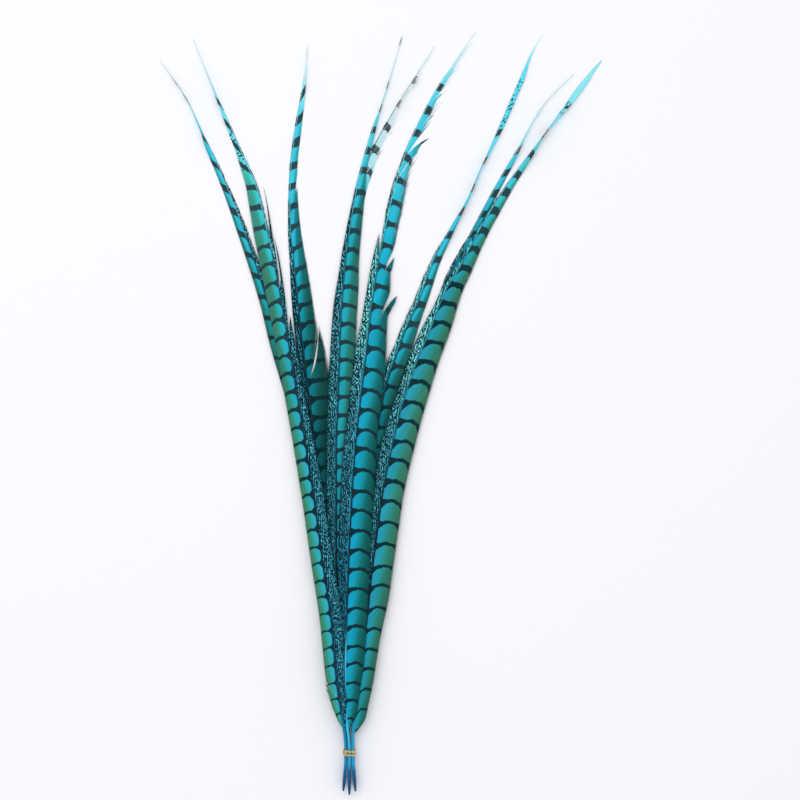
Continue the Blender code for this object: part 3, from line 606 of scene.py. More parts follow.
def openSplit(barbs, split):
    # Pulls the barbs apart at a split, and ends those above it along the edge that it left.
    away = barbs["root"] - split["root"]
    pull = split["open"] / 2 * np.exp(-np.abs(away) / split["reach"])
    barbs = {**barbs, "drift": barbs["drift"] + np.where(away > 0, pull, -pull)}
    if "above" in split:
        wholeAgain = (split["above"][-1][0] + 3, 60)
        trimmed = trimBarbs(barbs, split["above"] + [wholeAgain])
        barbs = {key: np.where(away > 0, trimmed[key], barbs[key]) for key in barbs}
    return barbs


def turnTeeth(barbs, worn):
    # On a worn edge every other pair of barbs ends in a tooth that turns outwards.
    tooth = smooth(worn, barbs["root"])
    tooth = tooth * (barbs["root"] % bunch["toothPitch"] < 0.5 * bunch["toothPitch"])
    toothed = endBarbs(barbs, 1 + tooth / (barbs["reach"] - barbs["base"]))
    further = toothed["advance"] - barbs["advance"]
    return {**toothed, "drift": barbs["drift"] - barbHabits["toothTurn"] * further}


def gatherTuft(barbs, tuft):
    # Barbs that cling together, with their tips on a line.
    root, base, (low, high) = barbs["root"], barbs["base"], tuft["roots"]
    part = np.clip((root - low) / (high - low), 0, 1)
    tipAcross, tipAlong = ((1 - part) * tuft["from"][k] + part * tuft["to"][k] for k in (0, 1))
    pulled = endBarbs(barbs, (tipAcross - base) / (barbs["reach"] - base))
    if "bend" in tuft:  # these curve all the way, others only near their tips
        pulled["bend"] = tuft["bend"]
        pulled["advance"] = (tipAlong - root) * (1 - tuft.get("hook", 0))
        if tuft["vane"] > 0 and "hook" not in tuft:  # and their bars move with them
            pulled["slip"] = barbHabits["tuftCarriesBars"] * (barbs["advance"]
                                                              - pulled["advance"])
    pulled.update(drift=tipAlong - root - pulled["advance"], broad=tuft.get("broad", 1.0),
                  loose=barbHabits["tuftHookedTo"])
    inTuft = (root >= low) & (root <= high)
    return {key: np.where(inTuft, pulled[key], barbs[key]) for key in barbs}


def freeStrays(barbs, feather, vane, source):
    # Single barbs of the barred vane that reach past its outline.
    count, (low, high) = len(barbs["root"]), feather["strayReach"]
    stray = source.random(count) < smooth(feather["strays"], barbs["root"])
    past = np.where(stray & (vane > 0), low + (high - low) * source.random(count), 0)
    past = past * smooth(feather["strayGrowth"], barbs["root"])
    whole = 1 + past / (barbs["reach"] - barbs["base"])
    longer = endBarbs(barbs, whole)
    turned = barbs["advance"] + barbHabits["strayTurn"] * past - longer["advance"]
    return {**longer, "drift": np.where(past > 0, turned, barbs["drift"]),
            "loose": np.where(past > 0, 1 / whole - barbHabits["strayLooser"], barbs["loose"])}


def plantVane(feather, vane, source):
    # One row of values for each barb, with all that the tree needs to lay it on the bed.
    kind, edge = ("barred", "Barred") if vane > 0 else ("narrow", "Narrow")
    barbs, habits = layBarbs(feather, kind), barbHabits
    root, count = barbs["root"], len(barbs["root"])
    fray = smooth(feather["frayed" + edge], root)
    fringe = smooth(feather["fringe"], root) * (vane > 0)
    barbs["drift"] = habits["sway"] * smoothNoise(source, count, 8)
    for split in feather["splits"] if vane > 0 else []:
        barbs = openSplit(barbs, split)
    shorter = habits["shorter"] + habits["frayedShorter"] * fray
    barbs = endBarbs(barbs, 1 - shorter * source.random(count) ** 2)
    looser = habits["looser"] + habits["frayedLooser"] * fray + fringe
    barbs["loose"] = habits["hookedTo"] - looser * source.random(count)
    barbs = turnTeeth(barbs, feather["worn" + edge])
    for tuft in feather["tufts"]:
        if tuft["vane"] == vane:
            barbs = gatherTuft(barbs, tuft)
    barbs = freeStrays(barbs, feather, vane, source)
    barbs["drift"] = (barbs["drift"]
                      + habits["fringeSway"] * fringe * smoothNoise(source, count, 2)
                      + fray * (habits["frayedSway"] * smoothNoise(source, count, 3)
                                + habits["frayedJitter"] * source.standard_normal(count)))
    keep = source.random(count) >= smooth(feather["sparse"], root) + habits["frayedGone"] * fray
    tone = (habits["fineTone"] * smoothNoise(source, count, 2)
            + habits["broadTone"] * smoothNoise(source, count, 14))
    # painted shade: a barb darkened where its hooks let go, in place of the shade in the parted
    # gap
    shadowedSeam = source.random(count) < habits["seamShare"]  # dark where hooks let go
    barbs.update(vane=np.full(count, float(vane)), tone=tone - habits["seamShadowTone"] * shadowedSeam,
                 lift=habits["lift"] * smoothNoise(source, count, 10),
                 barredBarb=np.maximum(vane, root > feather["barredOver"]))
    return {name: column[keep] for name, column in barbs.items()}


def plantRoots(feather, ordinal):
    source = np.random.default_rng(barbHabits["seed"] + ordinal)
    vanes = [plantVane(feather, vane, source) for vane in (1, -1)]
    lengths = ("root", "reach", "base", "advance", "drift", "slip", "lift")
    columns = {name: np.concatenate([vane[name] for vane in vanes])
               * (mm if name in lengths else 1) for name in vanes[0]}
    spots = np.zeros((len(columns["root"]), 3))
    spots[:, 1] = columns["root"]
    return addGuide("roots", spots.tolist(), [], columns)


# what the tree reads at each barb's root
layingValues = ("vane", "root", "reach", "base", "advance", "bend", "loose", "drift", "slip",
                "broad", "lift", "barredBarb")


def standBarbs(tree, given):
    # One three-sided barb at each root, standing up: its height is the way along it, and its
    # first corner is the ridge.
    place = addNode(tree, "GeometryNodeInputPosition")
    barb = addNode(tree, "GeometryNodeMeshCylinder",
                   {"Vertices": 3, "Side Segments": given["Barb steps"], "Radius": 1.0,
                    "Depth": 1.0}, fill_type="NGON")
    marked = addNode(tree, "GeometryNodeStoreNamedAttribute",
                     {"Geometry": barb, "Name": "corner", "Value": place},
                     data_type="FLOAT_VECTOR", domain="POINT")
    corner = addNode(tree, "ShaderNodeSeparateXYZ", {0: place})
    onTop = addNode(tree, "FunctionNodeCompare", {0: corner.outputs["X"], 1: 0.1},
                    operation="GREATER_THAN")
    softened = addNode(tree, "GeometryNodeSetShadeSmooth",
                       {"Geometry": marked, "Shade Smooth": onTop})
    planted = addNode(tree, "GeometryNodeInstanceOnPoints",
                      {"Points": given["Barb roots"], "Instance": softened})
    return addNode(tree, "GeometryNodeRealizeInstances", {"Geometry": planted})


def sweepShaft(tree, given):
    line = addNode(tree, "GeometryNodeObjectInfo", {"Object": given["Shaft line"]})
    thick = addNode(tree, "GeometryNodeInputNamedAttribute", {"Name": "thick"},
                    data_type="FLOAT")
    curve = addNode(tree, "GeometryNodeMeshToCurve", {"Mesh": line.outputs["Geometry"]})
    ring = addNode(tree, "GeometryNodeCurvePrimitiveCircle", {"Resolution": 12, "Radius": 1.0})
    swept = addNode(tree, "GeometryNodeCurveToMesh",
                    {"Curve": curve, "Profile Curve": ring, "Scale": thick,
                     "Fill Caps": True})
    return addNode(tree, "GeometryNodeSetMaterial",
                   {"Geometry": swept, "Material": given["Shaft"]})


def buildFeatherTree():
    # Lays a barb from each root over the bed and sweeps the shaft along its line.
    tree, given = newTree("feather", {
        "Barb roots": "Geometry", "Vane bed": "Object", "Shaft line": "Object",
        "Barb steps": "Int", "Barb spacing": "Float", "Overlap": "Float",
        "Ridge height": "Float", "Web sink": "Float", "Across from": "Float",
        "Across to": "Float", "Along from": "Float", "Along to": "Float",
        "Barred side": "Float", "Barred vane": "Material", "Marbled vane": "Material",
        "Shaft": "Material"}, "Feather")
    bed = addNode(tree, "GeometryNodeObjectInfo", {"Object": given["Vane bed"]})
    read = {name: addNode(tree, "GeometryNodeInputNamedAttribute", {"Name": name},
                          data_type="FLOAT") for name in layingValues}
    cornerIs = addNode(tree, "GeometryNodeInputNamedAttribute", {"Name": "corner"},
                       data_type="FLOAT_VECTOR")
    part = addNode(tree, "ShaderNodeSeparateXYZ", {0: cornerIs}).outputs
    t = addNode(tree, "ShaderNodeMath", {0: part["Z"], 1: 0.5}, operation="ADD")
    facing = addNode(tree, "ShaderNodeMath", {0: read["vane"], 1: given["Barred side"]},
                     operation="MULTIPLY")
    # the two lower corners stand 0.866 to the sides, and come half the barb's width out
    turned = addNode(tree, "ShaderNodeMath", {0: facing, 1: -0.5 / 0.866},
                     operation="MULTIPLY")
    aside = addNode(tree, "ShaderNodeMath", {0: part["Y"], 1: turned}, operation="MULTIPLY")
    ridge = addNode(tree, "ShaderNodeMapRange",
                    {"Value": part["X"], "From Min": -0.5, "From Max": 1.0})

    # across the vane: evenly from the shaft's side out to the barb's reach
    across = addNode(tree, "ShaderNodeMapRange",
                     {"Value": t, "From Min": 0.0, "From Max": 1.0, "To Min": read["base"],
                      "To Max": read["reach"]})
    # along the vane: the barb leaves the shaft and bends towards the tip
    curved = addNode(tree, "ShaderNodeMath", {0: t, 1: t}, operation="MULTIPLY")
    bent = addNode(tree, "ShaderNodeMix", {"Factor": read["bend"], "A": curved, "B": t},
                   data_type="FLOAT", clamp_factor=False)
    forward = addNode(tree, "ShaderNodeMath",
                      {0: bent, 1: read["advance"], 2: read["root"]}, operation="MULTIPLY_ADD")
    cubed = addNode(tree, "ShaderNodeMath", {0: curved, 1: t}, operation="MULTIPLY")
    drifted = addNode(tree, "ShaderNodeMath", {0: cubed, 1: read["drift"], 2: forward},
                      operation="MULTIPLY_ADD")
    # each barb fills its own strip as far as its hooks hold, and thins to its tip past that
    held = addNode(tree, "ShaderNodeMapRange",
                   {"Value": t, "From Min": read["loose"], "From Max": 1.0, "To Min": 1.0,
                    "To Max": 0.12}, interpolation_type="SMOOTHSTEP")
    strip = addNode(tree, "ShaderNodeMath", {0: given["Barb spacing"], 1: given["Overlap"]},
                    operation="MULTIPLY")
    broader = addNode(tree, "ShaderNodeMath", {0: strip, 1: read["broad"]},
                      operation="MULTIPLY")
    width = addNode(tree, "ShaderNodeMath", {0: held, 1: broader}, operation="MULTIPLY")
    along = addNode(tree, "ShaderNodeMath", {0: aside, 1: width, 2: drifted},
                    operation="MULTIPLY_ADD")

    signed = addNode(tree, "ShaderNodeMath", {0: across, 1: read["vane"]}, operation="MULTIPLY")
    u, v = (addNode(tree, "ShaderNodeMapRange",
                    {"Value": value, "From Min": given[way + " from"],
                     "From Max": given[way + " to"]})
            for way, value in (("Across", signed), ("Along", along)))
    spot = addNode(tree, "ShaderNodeCombineXYZ", {0: u, 1: v})
    bedMap = addNode(tree, "GeometryNodeInputNamedAttribute", {"Name": "bedMap"},
                     data_type="FLOAT_VECTOR")
    found, upward = (addNode(tree, "GeometryNodeSampleUVSurface",
                             {"Mesh": bed.outputs["Geometry"], "Value": addNode(tree, kind),
                              "UV Map": bedMap, "Sample UV": spot}, data_type="FLOAT_VECTOR")
                     for kind in ("GeometryNodeInputPosition", "GeometryNodeInputNormal"))
    tall = addNode(tree, "ShaderNodeMath", {0: ridge, 1: given["Ridge height"]},
                   operation="MULTIPLY")
    sunk = addNode(tree, "ShaderNodeMath", {0: tall, 1: given["Web sink"]},
                   operation="SUBTRACT")
    raised = addNode(tree, "ShaderNodeMath", {0: curved, 1: read["lift"], 2: sunk},
                     operation="MULTIPLY_ADD")
    off = addNode(tree, "ShaderNodeVectorMath", {0: upward, "Scale": raised},
                  operation="SCALE")
    laid = addNode(tree, "ShaderNodeVectorMath", {0: found, 1: off}, operation="ADD")
    shaped = addNode(tree, "GeometryNodeSetPosition",
                     {"Geometry": standBarbs(tree, given), "Position": laid})
    patternAlong = addNode(tree, "ShaderNodeMath", {0: cubed, 1: read["slip"], 2: along},
                           operation="MULTIPLY_ADD")
    flat = addNode(tree, "ShaderNodeCombineXYZ", {0: signed, 1: patternAlong, 2: t})
    mapped = addNode(tree, "GeometryNodeStoreNamedAttribute",
                     {"Geometry": shaped, "Name": "laid", "Value": flat},
                     data_type="FLOAT_VECTOR", domain="POINT")
    barredHere = addNode(tree, "FunctionNodeCompare", {0: read["barredBarb"], 1: 0.5},
                         operation="GREATER_THAN")
    marbled = addNode(tree, "GeometryNodeSetMaterial",
                      {"Geometry": mapped, "Material": given["Marbled vane"]})
    barred = addNode(tree, "GeometryNodeSetMaterial",
                     {"Geometry": marbled, "Selection": barredHere,
                      "Material": given["Barred vane"]})
    both = addNode(tree, "GeometryNodeJoinGeometry")
    for each in (barred, sweepShaft(tree, given)):
        tree.links.new(each.outputs[0], both.inputs[0])
    whole = addNode(tree, "GeometryNodeRealizeInstances", {"Geometry": both})
    addNode(tree, "NodeGroupOutput", {0: whole})
    return tree


def newMaterial(name, **values):
    # A material with one Principled shader, whose even values are set on its own sockets.
    material = bpy.data.materials.new(name)
    material.use_nodes = True
    tree = material.node_tree
    tree.nodes.clear()
    shader = addNode(tree, "ShaderNodeBsdfPrincipled",
                     {socket.replace("_", " "): value for socket, value in values.items()})
    addNode(tree, "ShaderNodeOutputMaterial", {"Surface": shader})
    return material, tree, shader


def addRamp(tree, at, stops):
    ramp = addNode(tree, "ShaderNodeValToRGB", {0: at})
    marks = ramp.color_ramp.elements
    while len(marks) < len(stops):
        marks.new(0.5)
    for mark, (position, colour) in zip(marks, stops):
        mark.position = position
        mark.color = hexColour(colour)
    return ramp.outputs["Color"]


# How the dyed vanes look. Lengths are in mm. A pair called an edge is where a mark begins and is
# whole, on the scale from 0 to 1 of the noise or guide that it follows. Blobs are counted to a
# mm, across and along where there are two.
vaneLook = {
    # the cells' colours run from the shaft to the outer edge, and the pale ones to the tip
    "tealCell": [(0.0, "#129cc6"), (0.25, "#1297b8"), (0.45, "#13848e"), (0.62, "#106466"),
                 (0.8, "#0f5149"), (1.0, "#0c443c")],
    "greenCell": [(0.0, "#2593b2"), (0.25, "#2791a4"), (0.45, "#2b8985"), (0.65, "#2f7860"),
                  (0.85, "#386a52"), (1.0, "#3b634b")],
    "paleDyeLitThrough": [(0.0, "#12a0be"), (0.35, "#22b4d0"), (0.6, "#3fcbe2"), (0.8, "#80e2f0"),
                (1.0, "#edf8fb")],
    "paleGreen": [(0.0, "#1f9c90"), (0.35, "#2fb0a0"), (0.6, "#46c6b4"), (0.8, "#7be2d8"),
                  (1.0, "#edf8fb")],
    # a cell leans towards the shaft's colour over its height, a painted satin sheen. Towards the
    # tip it turns pale, painted light shining through the thin barbs together with their paler
    # colour, its outer part later and only up to the rest of outerHeld
    "cellSheenLean": -0.12, "cyanFrom": 0.06, "greenEdge": (0.2, 0.7), "paleAndLitEdge": (0.05, 0.55),
    "outerEdge": (0.35, 0.75), "outerHeld": 0.8, "outerUntil": (0.45, 0.7),
    # how far out barbs past the edge count, and how much the narrow side's do in the colours
    "shareReach": 1.1, "narrowShare": 0.3,
    "gloss": (0.05, 0.42, 0.5, 1.0), "barredTone": 0.06, "marbledTone": 0.08,
    # the bars: how far they stray from barb to barb and with which blobs, and where they break
    "bar": "#0e181e", "highBar": "#2b3b41", "barSoftness": 0.4, "barTone": 0.15,
    "ragged": ((0.5, 0.8), (1.2, 0.15)), "gapBlobs": (0.7, 0.16, 0.0), "gapEdge": (0.53, 0.47),
    # the shares of the vane where bars begin and end to widen towards the shaft and the edge,
    # and how sharply
    "flares": ((0.38, 0.06, 2.0), (0.76, 1.0, 1.7)),
    # a bar's arch: the share of the vane where it stands highest, and how it falls from there
    "archMiddle": 0.5, "archInner": 1.3, "archOuter": 1.4, "archReach": 1.2,
    # the dark strip beside the shaft and the specks near the tip
    "shaftStrip": "#08262f", "stripSoftness": 0.35, "stripUntil": (0.2, 0.5),
    "speckle": "#174650", "speckBlobs": 0.38, "speckEdge": (0.55, 0.6),
    # the marbling's colours, on its darkest and on its lightest vanes
    "marbleGround": ("#041826", "#041f2c"), "marbleWorm": ("#2b90b0", "#8ce9e8"),
    # beside the shaft: light strands, and the dark colour of a painted shadow
    "marbleStrand": ("#2b8cb2", "#3a9fa8"), "marbleShadow": "#04182a",  # beside the shaft
    # the worm-like lines: degrees from straight out, and how far they wander, break and thin
    "wormSlants": (-40, 46, -8), "wormWarp": 1.0, "wormBreaks": 2.4,
    "wormLevel": (-0.5, -1.0), "wormEdge": 0.09, "wormShift": 0.37, "apart": 830.0,
    # blobs to a mm, and their detail, of the noises that shape them
    "wormNoises": {"warp": (0.25, 2.0), "curls": (0.3, 0.0), "zones": (0.16, 0.0),
                   "breaks": (0.42, 0.0), "fades": (0.21, 0.0)},
    "curlEdge": (0.5, 0.55), "zoneEdge": (0.36, 0.44), "zoneOutward": 0.025,
    "fadeEdge": (0.35, 0.6), "faded": 0.55,
    # the streaks along the shaft, and the darker outer edge of the narrow vane
    "streakBlobs": (0.9, 0.1, 0.0), "streakWander": 9.0, "streakWidth": (2.4, 1.8),
    "dimEdge": (0.78, 0.98), "dimmedTo": 0.3,
}


def startVane(name, roughness, guides):
    # A vane's material, with its guides and each point's place on the flat vane in mm.
    material, tree, shader = newMaterial(name, Roughness=roughness, Specular_IOR_Level=0.5,
                                         Specular_Tint=vaneLook["gloss"])
    read = {guide: addNode(tree, "ShaderNodeAttribute", attribute_name=guide).outputs["Fac"]
            for guide in guides}
    laid = addNode(tree, "ShaderNodeAttribute", attribute_name="laid").outputs["Vector"]
    inMm = addNode(tree, "ShaderNodeVectorMath", {0: laid, "Scale": 1 / mm}, operation="SCALE")
    across = addNode(tree, "ShaderNodeSeparateXYZ", {0: inMm}).outputs["X"]
    return material, tree, shader, read, inMm, across


def drawBars(tree, read, inMm):
    # Where the dark bars are: height above the middle of the nearest bar, off for each barb.
    whole = addNode(tree, "ShaderNodeMath", {0: read["barCount"]}, operation="ROUND")
    off = addNode(tree, "ShaderNodeMath", {0: read["barCount"], 1: whole}, operation="SUBTRACT")
    above = addNode(tree, "ShaderNodeMath", {0: off, 1: read["barPitch"]}, operation="MULTIPLY")
    rough = 0.0
    for width, scale in vaneLook["ragged"]:
        grit = addNode(tree, "ShaderNodeTexNoise", {"Vector": inMm, "Scale": scale},
                       noise_dimensions="2D")
        level = addNode(tree, "ShaderNodeMath", {0: grit, 1: 0.5}, operation="SUBTRACT")
        rough = addNode(tree, "ShaderNodeMath", {0: level, 1: 2.5 * width, 2: rough},
                        operation="MULTIPLY_ADD")  # the noise itself spans about 0.4
    toned = addNode(tree, "ShaderNodeMath",
                    {0: read["tone"], 1: vaneLook["barTone"], 2: rough},
                    operation="MULTIPLY_ADD")
    height = addNode(tree, "ShaderNodeMath", {0: above, 1: toned}, operation="ADD")
    # the bar reaches further down where it meets the shaft and along the outer edge
    flares = []
    for low, high, power in vaneLook["flares"]:
        near = addNode(tree, "ShaderNodeMapRange",
                       {"Value": read["share"], "From Min": low, "From Max": high})
        flares.append(addNode(tree, "ShaderNodeMath", {0: near, 1: power}, operation="POWER"))
    half = addNode(tree, "ShaderNodeMath", {0: read["barThick"], 1: 0.5}, operation="MULTIPLY")
    wedge = addNode(tree, "ShaderNodeMath", {0: flares[0], 1: read["flareShaft"]},
                    operation="MULTIPLY")
    over = addNode(tree, "ShaderNodeMath", {0: wedge, 1: read["flareUp"], 2: half},
                   operation="MULTIPLY_ADD")
    flared = addNode(tree, "ShaderNodeMath", {0: wedge, 1: half}, operation="ADD")
    under = addNode(tree, "ShaderNodeMath", {0: flares[1], 1: read["flareEdge"], 2: flared},
                    operation="MULTIPLY_ADD")
    overBy = addNode(tree, "ShaderNodeMath", {0: over, 1: height}, operation="SUBTRACT")
    underBy = addNode(tree, "ShaderNodeMath", {0: under, 1: height}, operation="ADD")
    inside = addNode(tree, "ShaderNodeMath", {0: overBy, 1: underBy}, operation="MINIMUM")
    drawn = addNode(tree, "ShaderNodeMapRange",
                    {"Value": inside, "From Min": -vaneLook["barSoftness"],
                     "From Max": vaneLook["barSoftness"]}, interpolation_type="SMOOTHSTEP")
    present = addNode(tree, "ShaderNodeMath", {0: read["barThick"], 1: 0.5},
                      operation="GREATER_THAN")
    solid = addNode(tree, "ShaderNodeMath", {0: drawn, 1: present}, operation="MULTIPLY")
    gaps = addNode(tree, "ShaderNodeMapping",
                   {"Vector": inMm, "Scale": vaneLook["gapBlobs"]})
    gapped = addNode(tree, "ShaderNodeTexNoise", {"Vector": gaps, "Scale": 1.0, "Detail": 0.0},
                     noise_dimensions="2D")
    gap = addNode(tree, "ShaderNodeMapRange",
                  {"Value": gapped, "From Min": vaneLook["gapEdge"][0],
                   "From Max": vaneLook["gapEdge"][1]})
    missing = addNode(tree, "ShaderNodeMath", {0: gap, 1: read["broken"]}, operation="MULTIPLY")
    left = addNode(tree, "ShaderNodeMath", {0: 1.0, 1: missing}, operation="SUBTRACT")
    return addNode(tree, "ShaderNodeMath", {0: solid, 1: left}, operation="MULTIPLY")


def layDye(tree, read):
    # Turquoise at the shaft and green or deep teal outside, with a painted satin sheen leaning
    # over each cell's height, and paler towards the tip with painted light shining through the
    # thin barbs.
    rise = addNode(tree, "ShaderNodeMath", {0: read["barCount"]}, operation="FRACT")
    shifted = addNode(tree, "ShaderNodeMath", {0: read["share"], 1: read["cyanShift"]},
                      operation="ADD")
    # the painted satin sheen: each cell's colour leans towards the shaft's over its height
    dyeWithSheenLean = addNode(tree, "ShaderNodeMath",
                      {0: rise, 1: vaneLook["cellSheenLean"], 2: shifted}, operation="MULTIPLY_ADD")
    teal = addRamp(tree, dyeWithSheenLean, vaneLook["tealCell"])
    green = addRamp(tree, dyeWithSheenLean, vaneLook["greenCell"])
    cell = addNode(tree, "ShaderNodeMix", {"Factor": read["green"], "A": teal, "B": green},
                   data_type="RGBA")
    greenish = addNode(tree, "ShaderNodeMapRange",
                       {"Value": dyeWithSheenLean, "From Min": vaneLook["greenEdge"][0],
                        "From Max": vaneLook["greenEdge"][1]})
    greenOnly = addNode(tree, "ShaderNodeMath", {0: greenish, 1: read["green"]},
                        operation="MULTIPLY")
    pale = addNode(tree, "ShaderNodeMix",
                   {"Factor": greenOnly, "A": addRamp(tree, read["pale"], vaneLook["paleDyeLitThrough"]),
                    "B": addRamp(tree, read["pale"], vaneLook["paleGreen"])},
                   data_type="RGBA")
    # paler towards the tip: painted light shining through the thin barbs, together with their
    # paler colour
    lightened = addNode(tree, "ShaderNodeMapRange",
                        {"Value": read["pale"], "From Min": vaneLook["paleAndLitEdge"][0],
                         "From Max": vaneLook["paleAndLitEdge"][1]})
    outward = addNode(tree, "ShaderNodeMapRange",
                      {"Value": dyeWithSheenLean, "From Min": vaneLook["outerEdge"][0],
                       "From Max": vaneLook["outerEdge"][1], "To Max": vaneLook["outerHeld"]},
                      interpolation_type="SMOOTHSTEP")
    stillDeep = addNode(tree, "ShaderNodeMapRange",
                        {"Value": read["pale"], "From Min": vaneLook["outerUntil"][0],
                         "From Max": vaneLook["outerUntil"][1], "To Min": 1.0, "To Max": 0.0})
    held = addNode(tree, "ShaderNodeMath", {0: outward, 1: stillDeep}, operation="MULTIPLY")
    free = addNode(tree, "ShaderNodeMath", {0: 1.0, 1: held}, operation="SUBTRACT")
    paleAndLitThrough = addNode(tree, "ShaderNodeMath", {0: lightened, 1: free}, operation="MULTIPLY")
    dyed = addNode(tree, "ShaderNodeMix", {"Factor": paleAndLitThrough, "A": cell, "B": pale},
                   data_type="RGBA")
    return dyed, lightened


def dyedBarredVane():
    # Keratin barbs dyed turquoise over the feather's own dark bars: satin, with a teal gloss
    # from the dyed hooks, and ragged bars because each barb carries its own piece of them.
    material, tree, shader, read, inMm, across = startVane(
        "dyed barred feather vane", 0.45,
        ("share", "barCount", "barPitch", "barThick", "pale", "green", "tone", "paintedShading",
         "flareShaft", "flareEdge", "flareUp", "strip", "specks", "cyanShift", "broken"))
    bar = drawBars(tree, read, inMm)
    dyed, lightened = layDye(tree, read)

    # a dark strip beside the shaft, low down
    lowDown = addNode(tree, "ShaderNodeMapRange",
                      {"Value": read["pale"], "From Min": vaneLook["stripUntil"][0],
                       "From Max": vaneLook["stripUntil"][1], "To Min": 1.0, "To Max": 0.0})
    beside = addNode(tree, "ShaderNodeMath", {0: read["strip"], 1: across},
                     operation="SUBTRACT")
    besideShaft = addNode(tree, "ShaderNodeMapRange",
                          {"Value": beside, "From Min": -vaneLook["stripSoftness"],
                           "From Max": vaneLook["stripSoftness"]},
                          interpolation_type="SMOOTHSTEP")
    strip = addNode(tree, "ShaderNodeMath", {0: besideShaft, 1: lowDown},
                    operation="MULTIPLY")

    # specks of the dark pigment in the pale cells near the tip
    specks = addNode(tree, "ShaderNodeTexNoise",
                     {"Vector": inMm, "Scale": vaneLook["speckBlobs"], "Detail": 1.0},
                     noise_dimensions="2D")
    speckled = addNode(tree, "ShaderNodeMapRange",
                       {"Value": specks, "From Min": vaneLook["speckEdge"][0],
                        "From Max": vaneLook["speckEdge"][1]}, interpolation_type="SMOOTHSTEP")
    speckAmount = addNode(tree, "ShaderNodeMath", {0: speckled, 1: read["specks"]},
                          operation="MULTIPLY")
    # the bars pale towards the tip too, with the same painted light through the thin barbs
    pigment = addNode(tree, "ShaderNodeMix",
                      {"Factor": lightened, "A": hexColour(vaneLook["bar"]),
                       "B": hexColour(vaneLook["highBar"])}, data_type="RGBA")
    marked = dyed
    for amount, over in ((speckAmount, hexColour(vaneLook["speckle"])),
                         (strip, hexColour(vaneLook["shaftStrip"])), (bar, pigment)):
        marked = addNode(tree, "ShaderNodeMix", {"Factor": amount, "A": marked, "B": over},
                         data_type="RGBA")
    # the barb's random tone plus painted shading, which darkens the feather where it lies under
    # others
    toneAndPaintedShading = addNode(tree, "ShaderNodeMath",
                     {0: read["tone"], 1: vaneLook["barredTone"], 2: read["paintedShading"]},
                     operation="MULTIPLY_ADD")
    shaded = addNode(tree, "ShaderNodeVectorMath", {0: marked, "Scale": toneAndPaintedShading},
                     operation="SCALE")
    tree.links.new(shaded.outputs[0], shader.inputs["Base Color"])
    return material


def drawWorms(tree, read, inMm, across):
    # Where the light lines are. They run outwards with the barbs, or nearly along the shaft
    # close to it, and break off.
    noise = {name: addNode(tree, "ShaderNodeTexNoise",
                           {"Vector": inMm, "Scale": scale, "Detail": detail},
                           noise_dimensions="2D")
             for name, (scale, detail) in vaneLook["wormNoises"].items()}
    bend = addNode(tree, "ShaderNodeMath", {0: noise["warp"], 1: 0.5}, operation="SUBTRACT")
    waves = []
    for slant in ("wormOut", "wormBack", "wormAlong"):
        phase = addNode(tree, "ShaderNodeMath",
                        {0: bend, 1: vaneLook["wormWarp"], 2: read[slant]},
                        operation="MULTIPLY_ADD")
        turn = addNode(tree, "ShaderNodeMath", {0: phase, 1: 2 * math.pi}, operation="MULTIPLY")
        waves.append(addNode(tree, "ShaderNodeMath", {0: turn}, operation="SINE"))
    turnsBack = addNode(tree, "ShaderNodeMapRange",
                        {"Value": noise["curls"], "From Min": vaneLook["curlEdge"][0],
                         "From Max": vaneLook["curlEdge"][1]}, interpolation_type="SMOOTHSTEP")
    curled = addNode(tree, "ShaderNodeMix",
                     {"Factor": turnsBack, "A": waves[0], "B": waves[1]}, data_type="FLOAT")
    outward = addNode(tree, "ShaderNodeMath",
                      {0: across, 1: vaneLook["zoneOutward"], 2: noise["zones"]},
                      operation="MULTIPLY_ADD")  # across is negative on this side
    whichSlant = addNode(tree, "ShaderNodeMapRange",
                         {"Value": outward, "From Min": vaneLook["zoneEdge"][0],
                          "From Max": vaneLook["zoneEdge"][1]}, interpolation_type="SMOOTHSTEP")
    wave = addNode(tree, "ShaderNodeMix",
                   {"Factor": whichSlant, "A": curled, "B": waves[2]}, data_type="FLOAT")
    fewer = addNode(tree, "ShaderNodeMapRange",
                    {"Value": read["marbleLight"], "To Min": vaneLook["wormLevel"][0],
                     "To Max": vaneLook["wormLevel"][1]})
    lowered = addNode(tree, "ShaderNodeMath",
                      {0: noise["breaks"], 1: vaneLook["wormBreaks"], 2: fewer},
                      operation="MULTIPLY_ADD")
    over = addNode(tree, "ShaderNodeMath", {0: wave, 1: lowered}, operation="SUBTRACT")
    drawn = addNode(tree, "ShaderNodeMapRange",
                    {"Value": over, "From Min": -vaneLook["wormEdge"],
                     "From Max": vaneLook["wormEdge"]}, interpolation_type="SMOOTHSTEP")
    dyeHeld = addNode(tree, "ShaderNodeMapRange",
                      {"Value": noise["fades"], "From Min": vaneLook["fadeEdge"][0],
                       "From Max": vaneLook["fadeEdge"][1], "To Min": vaneLook["faded"]})
    return addNode(tree, "ShaderNodeMath", {0: drawn, 1: dyeHeld}, operation="MULTIPLY")


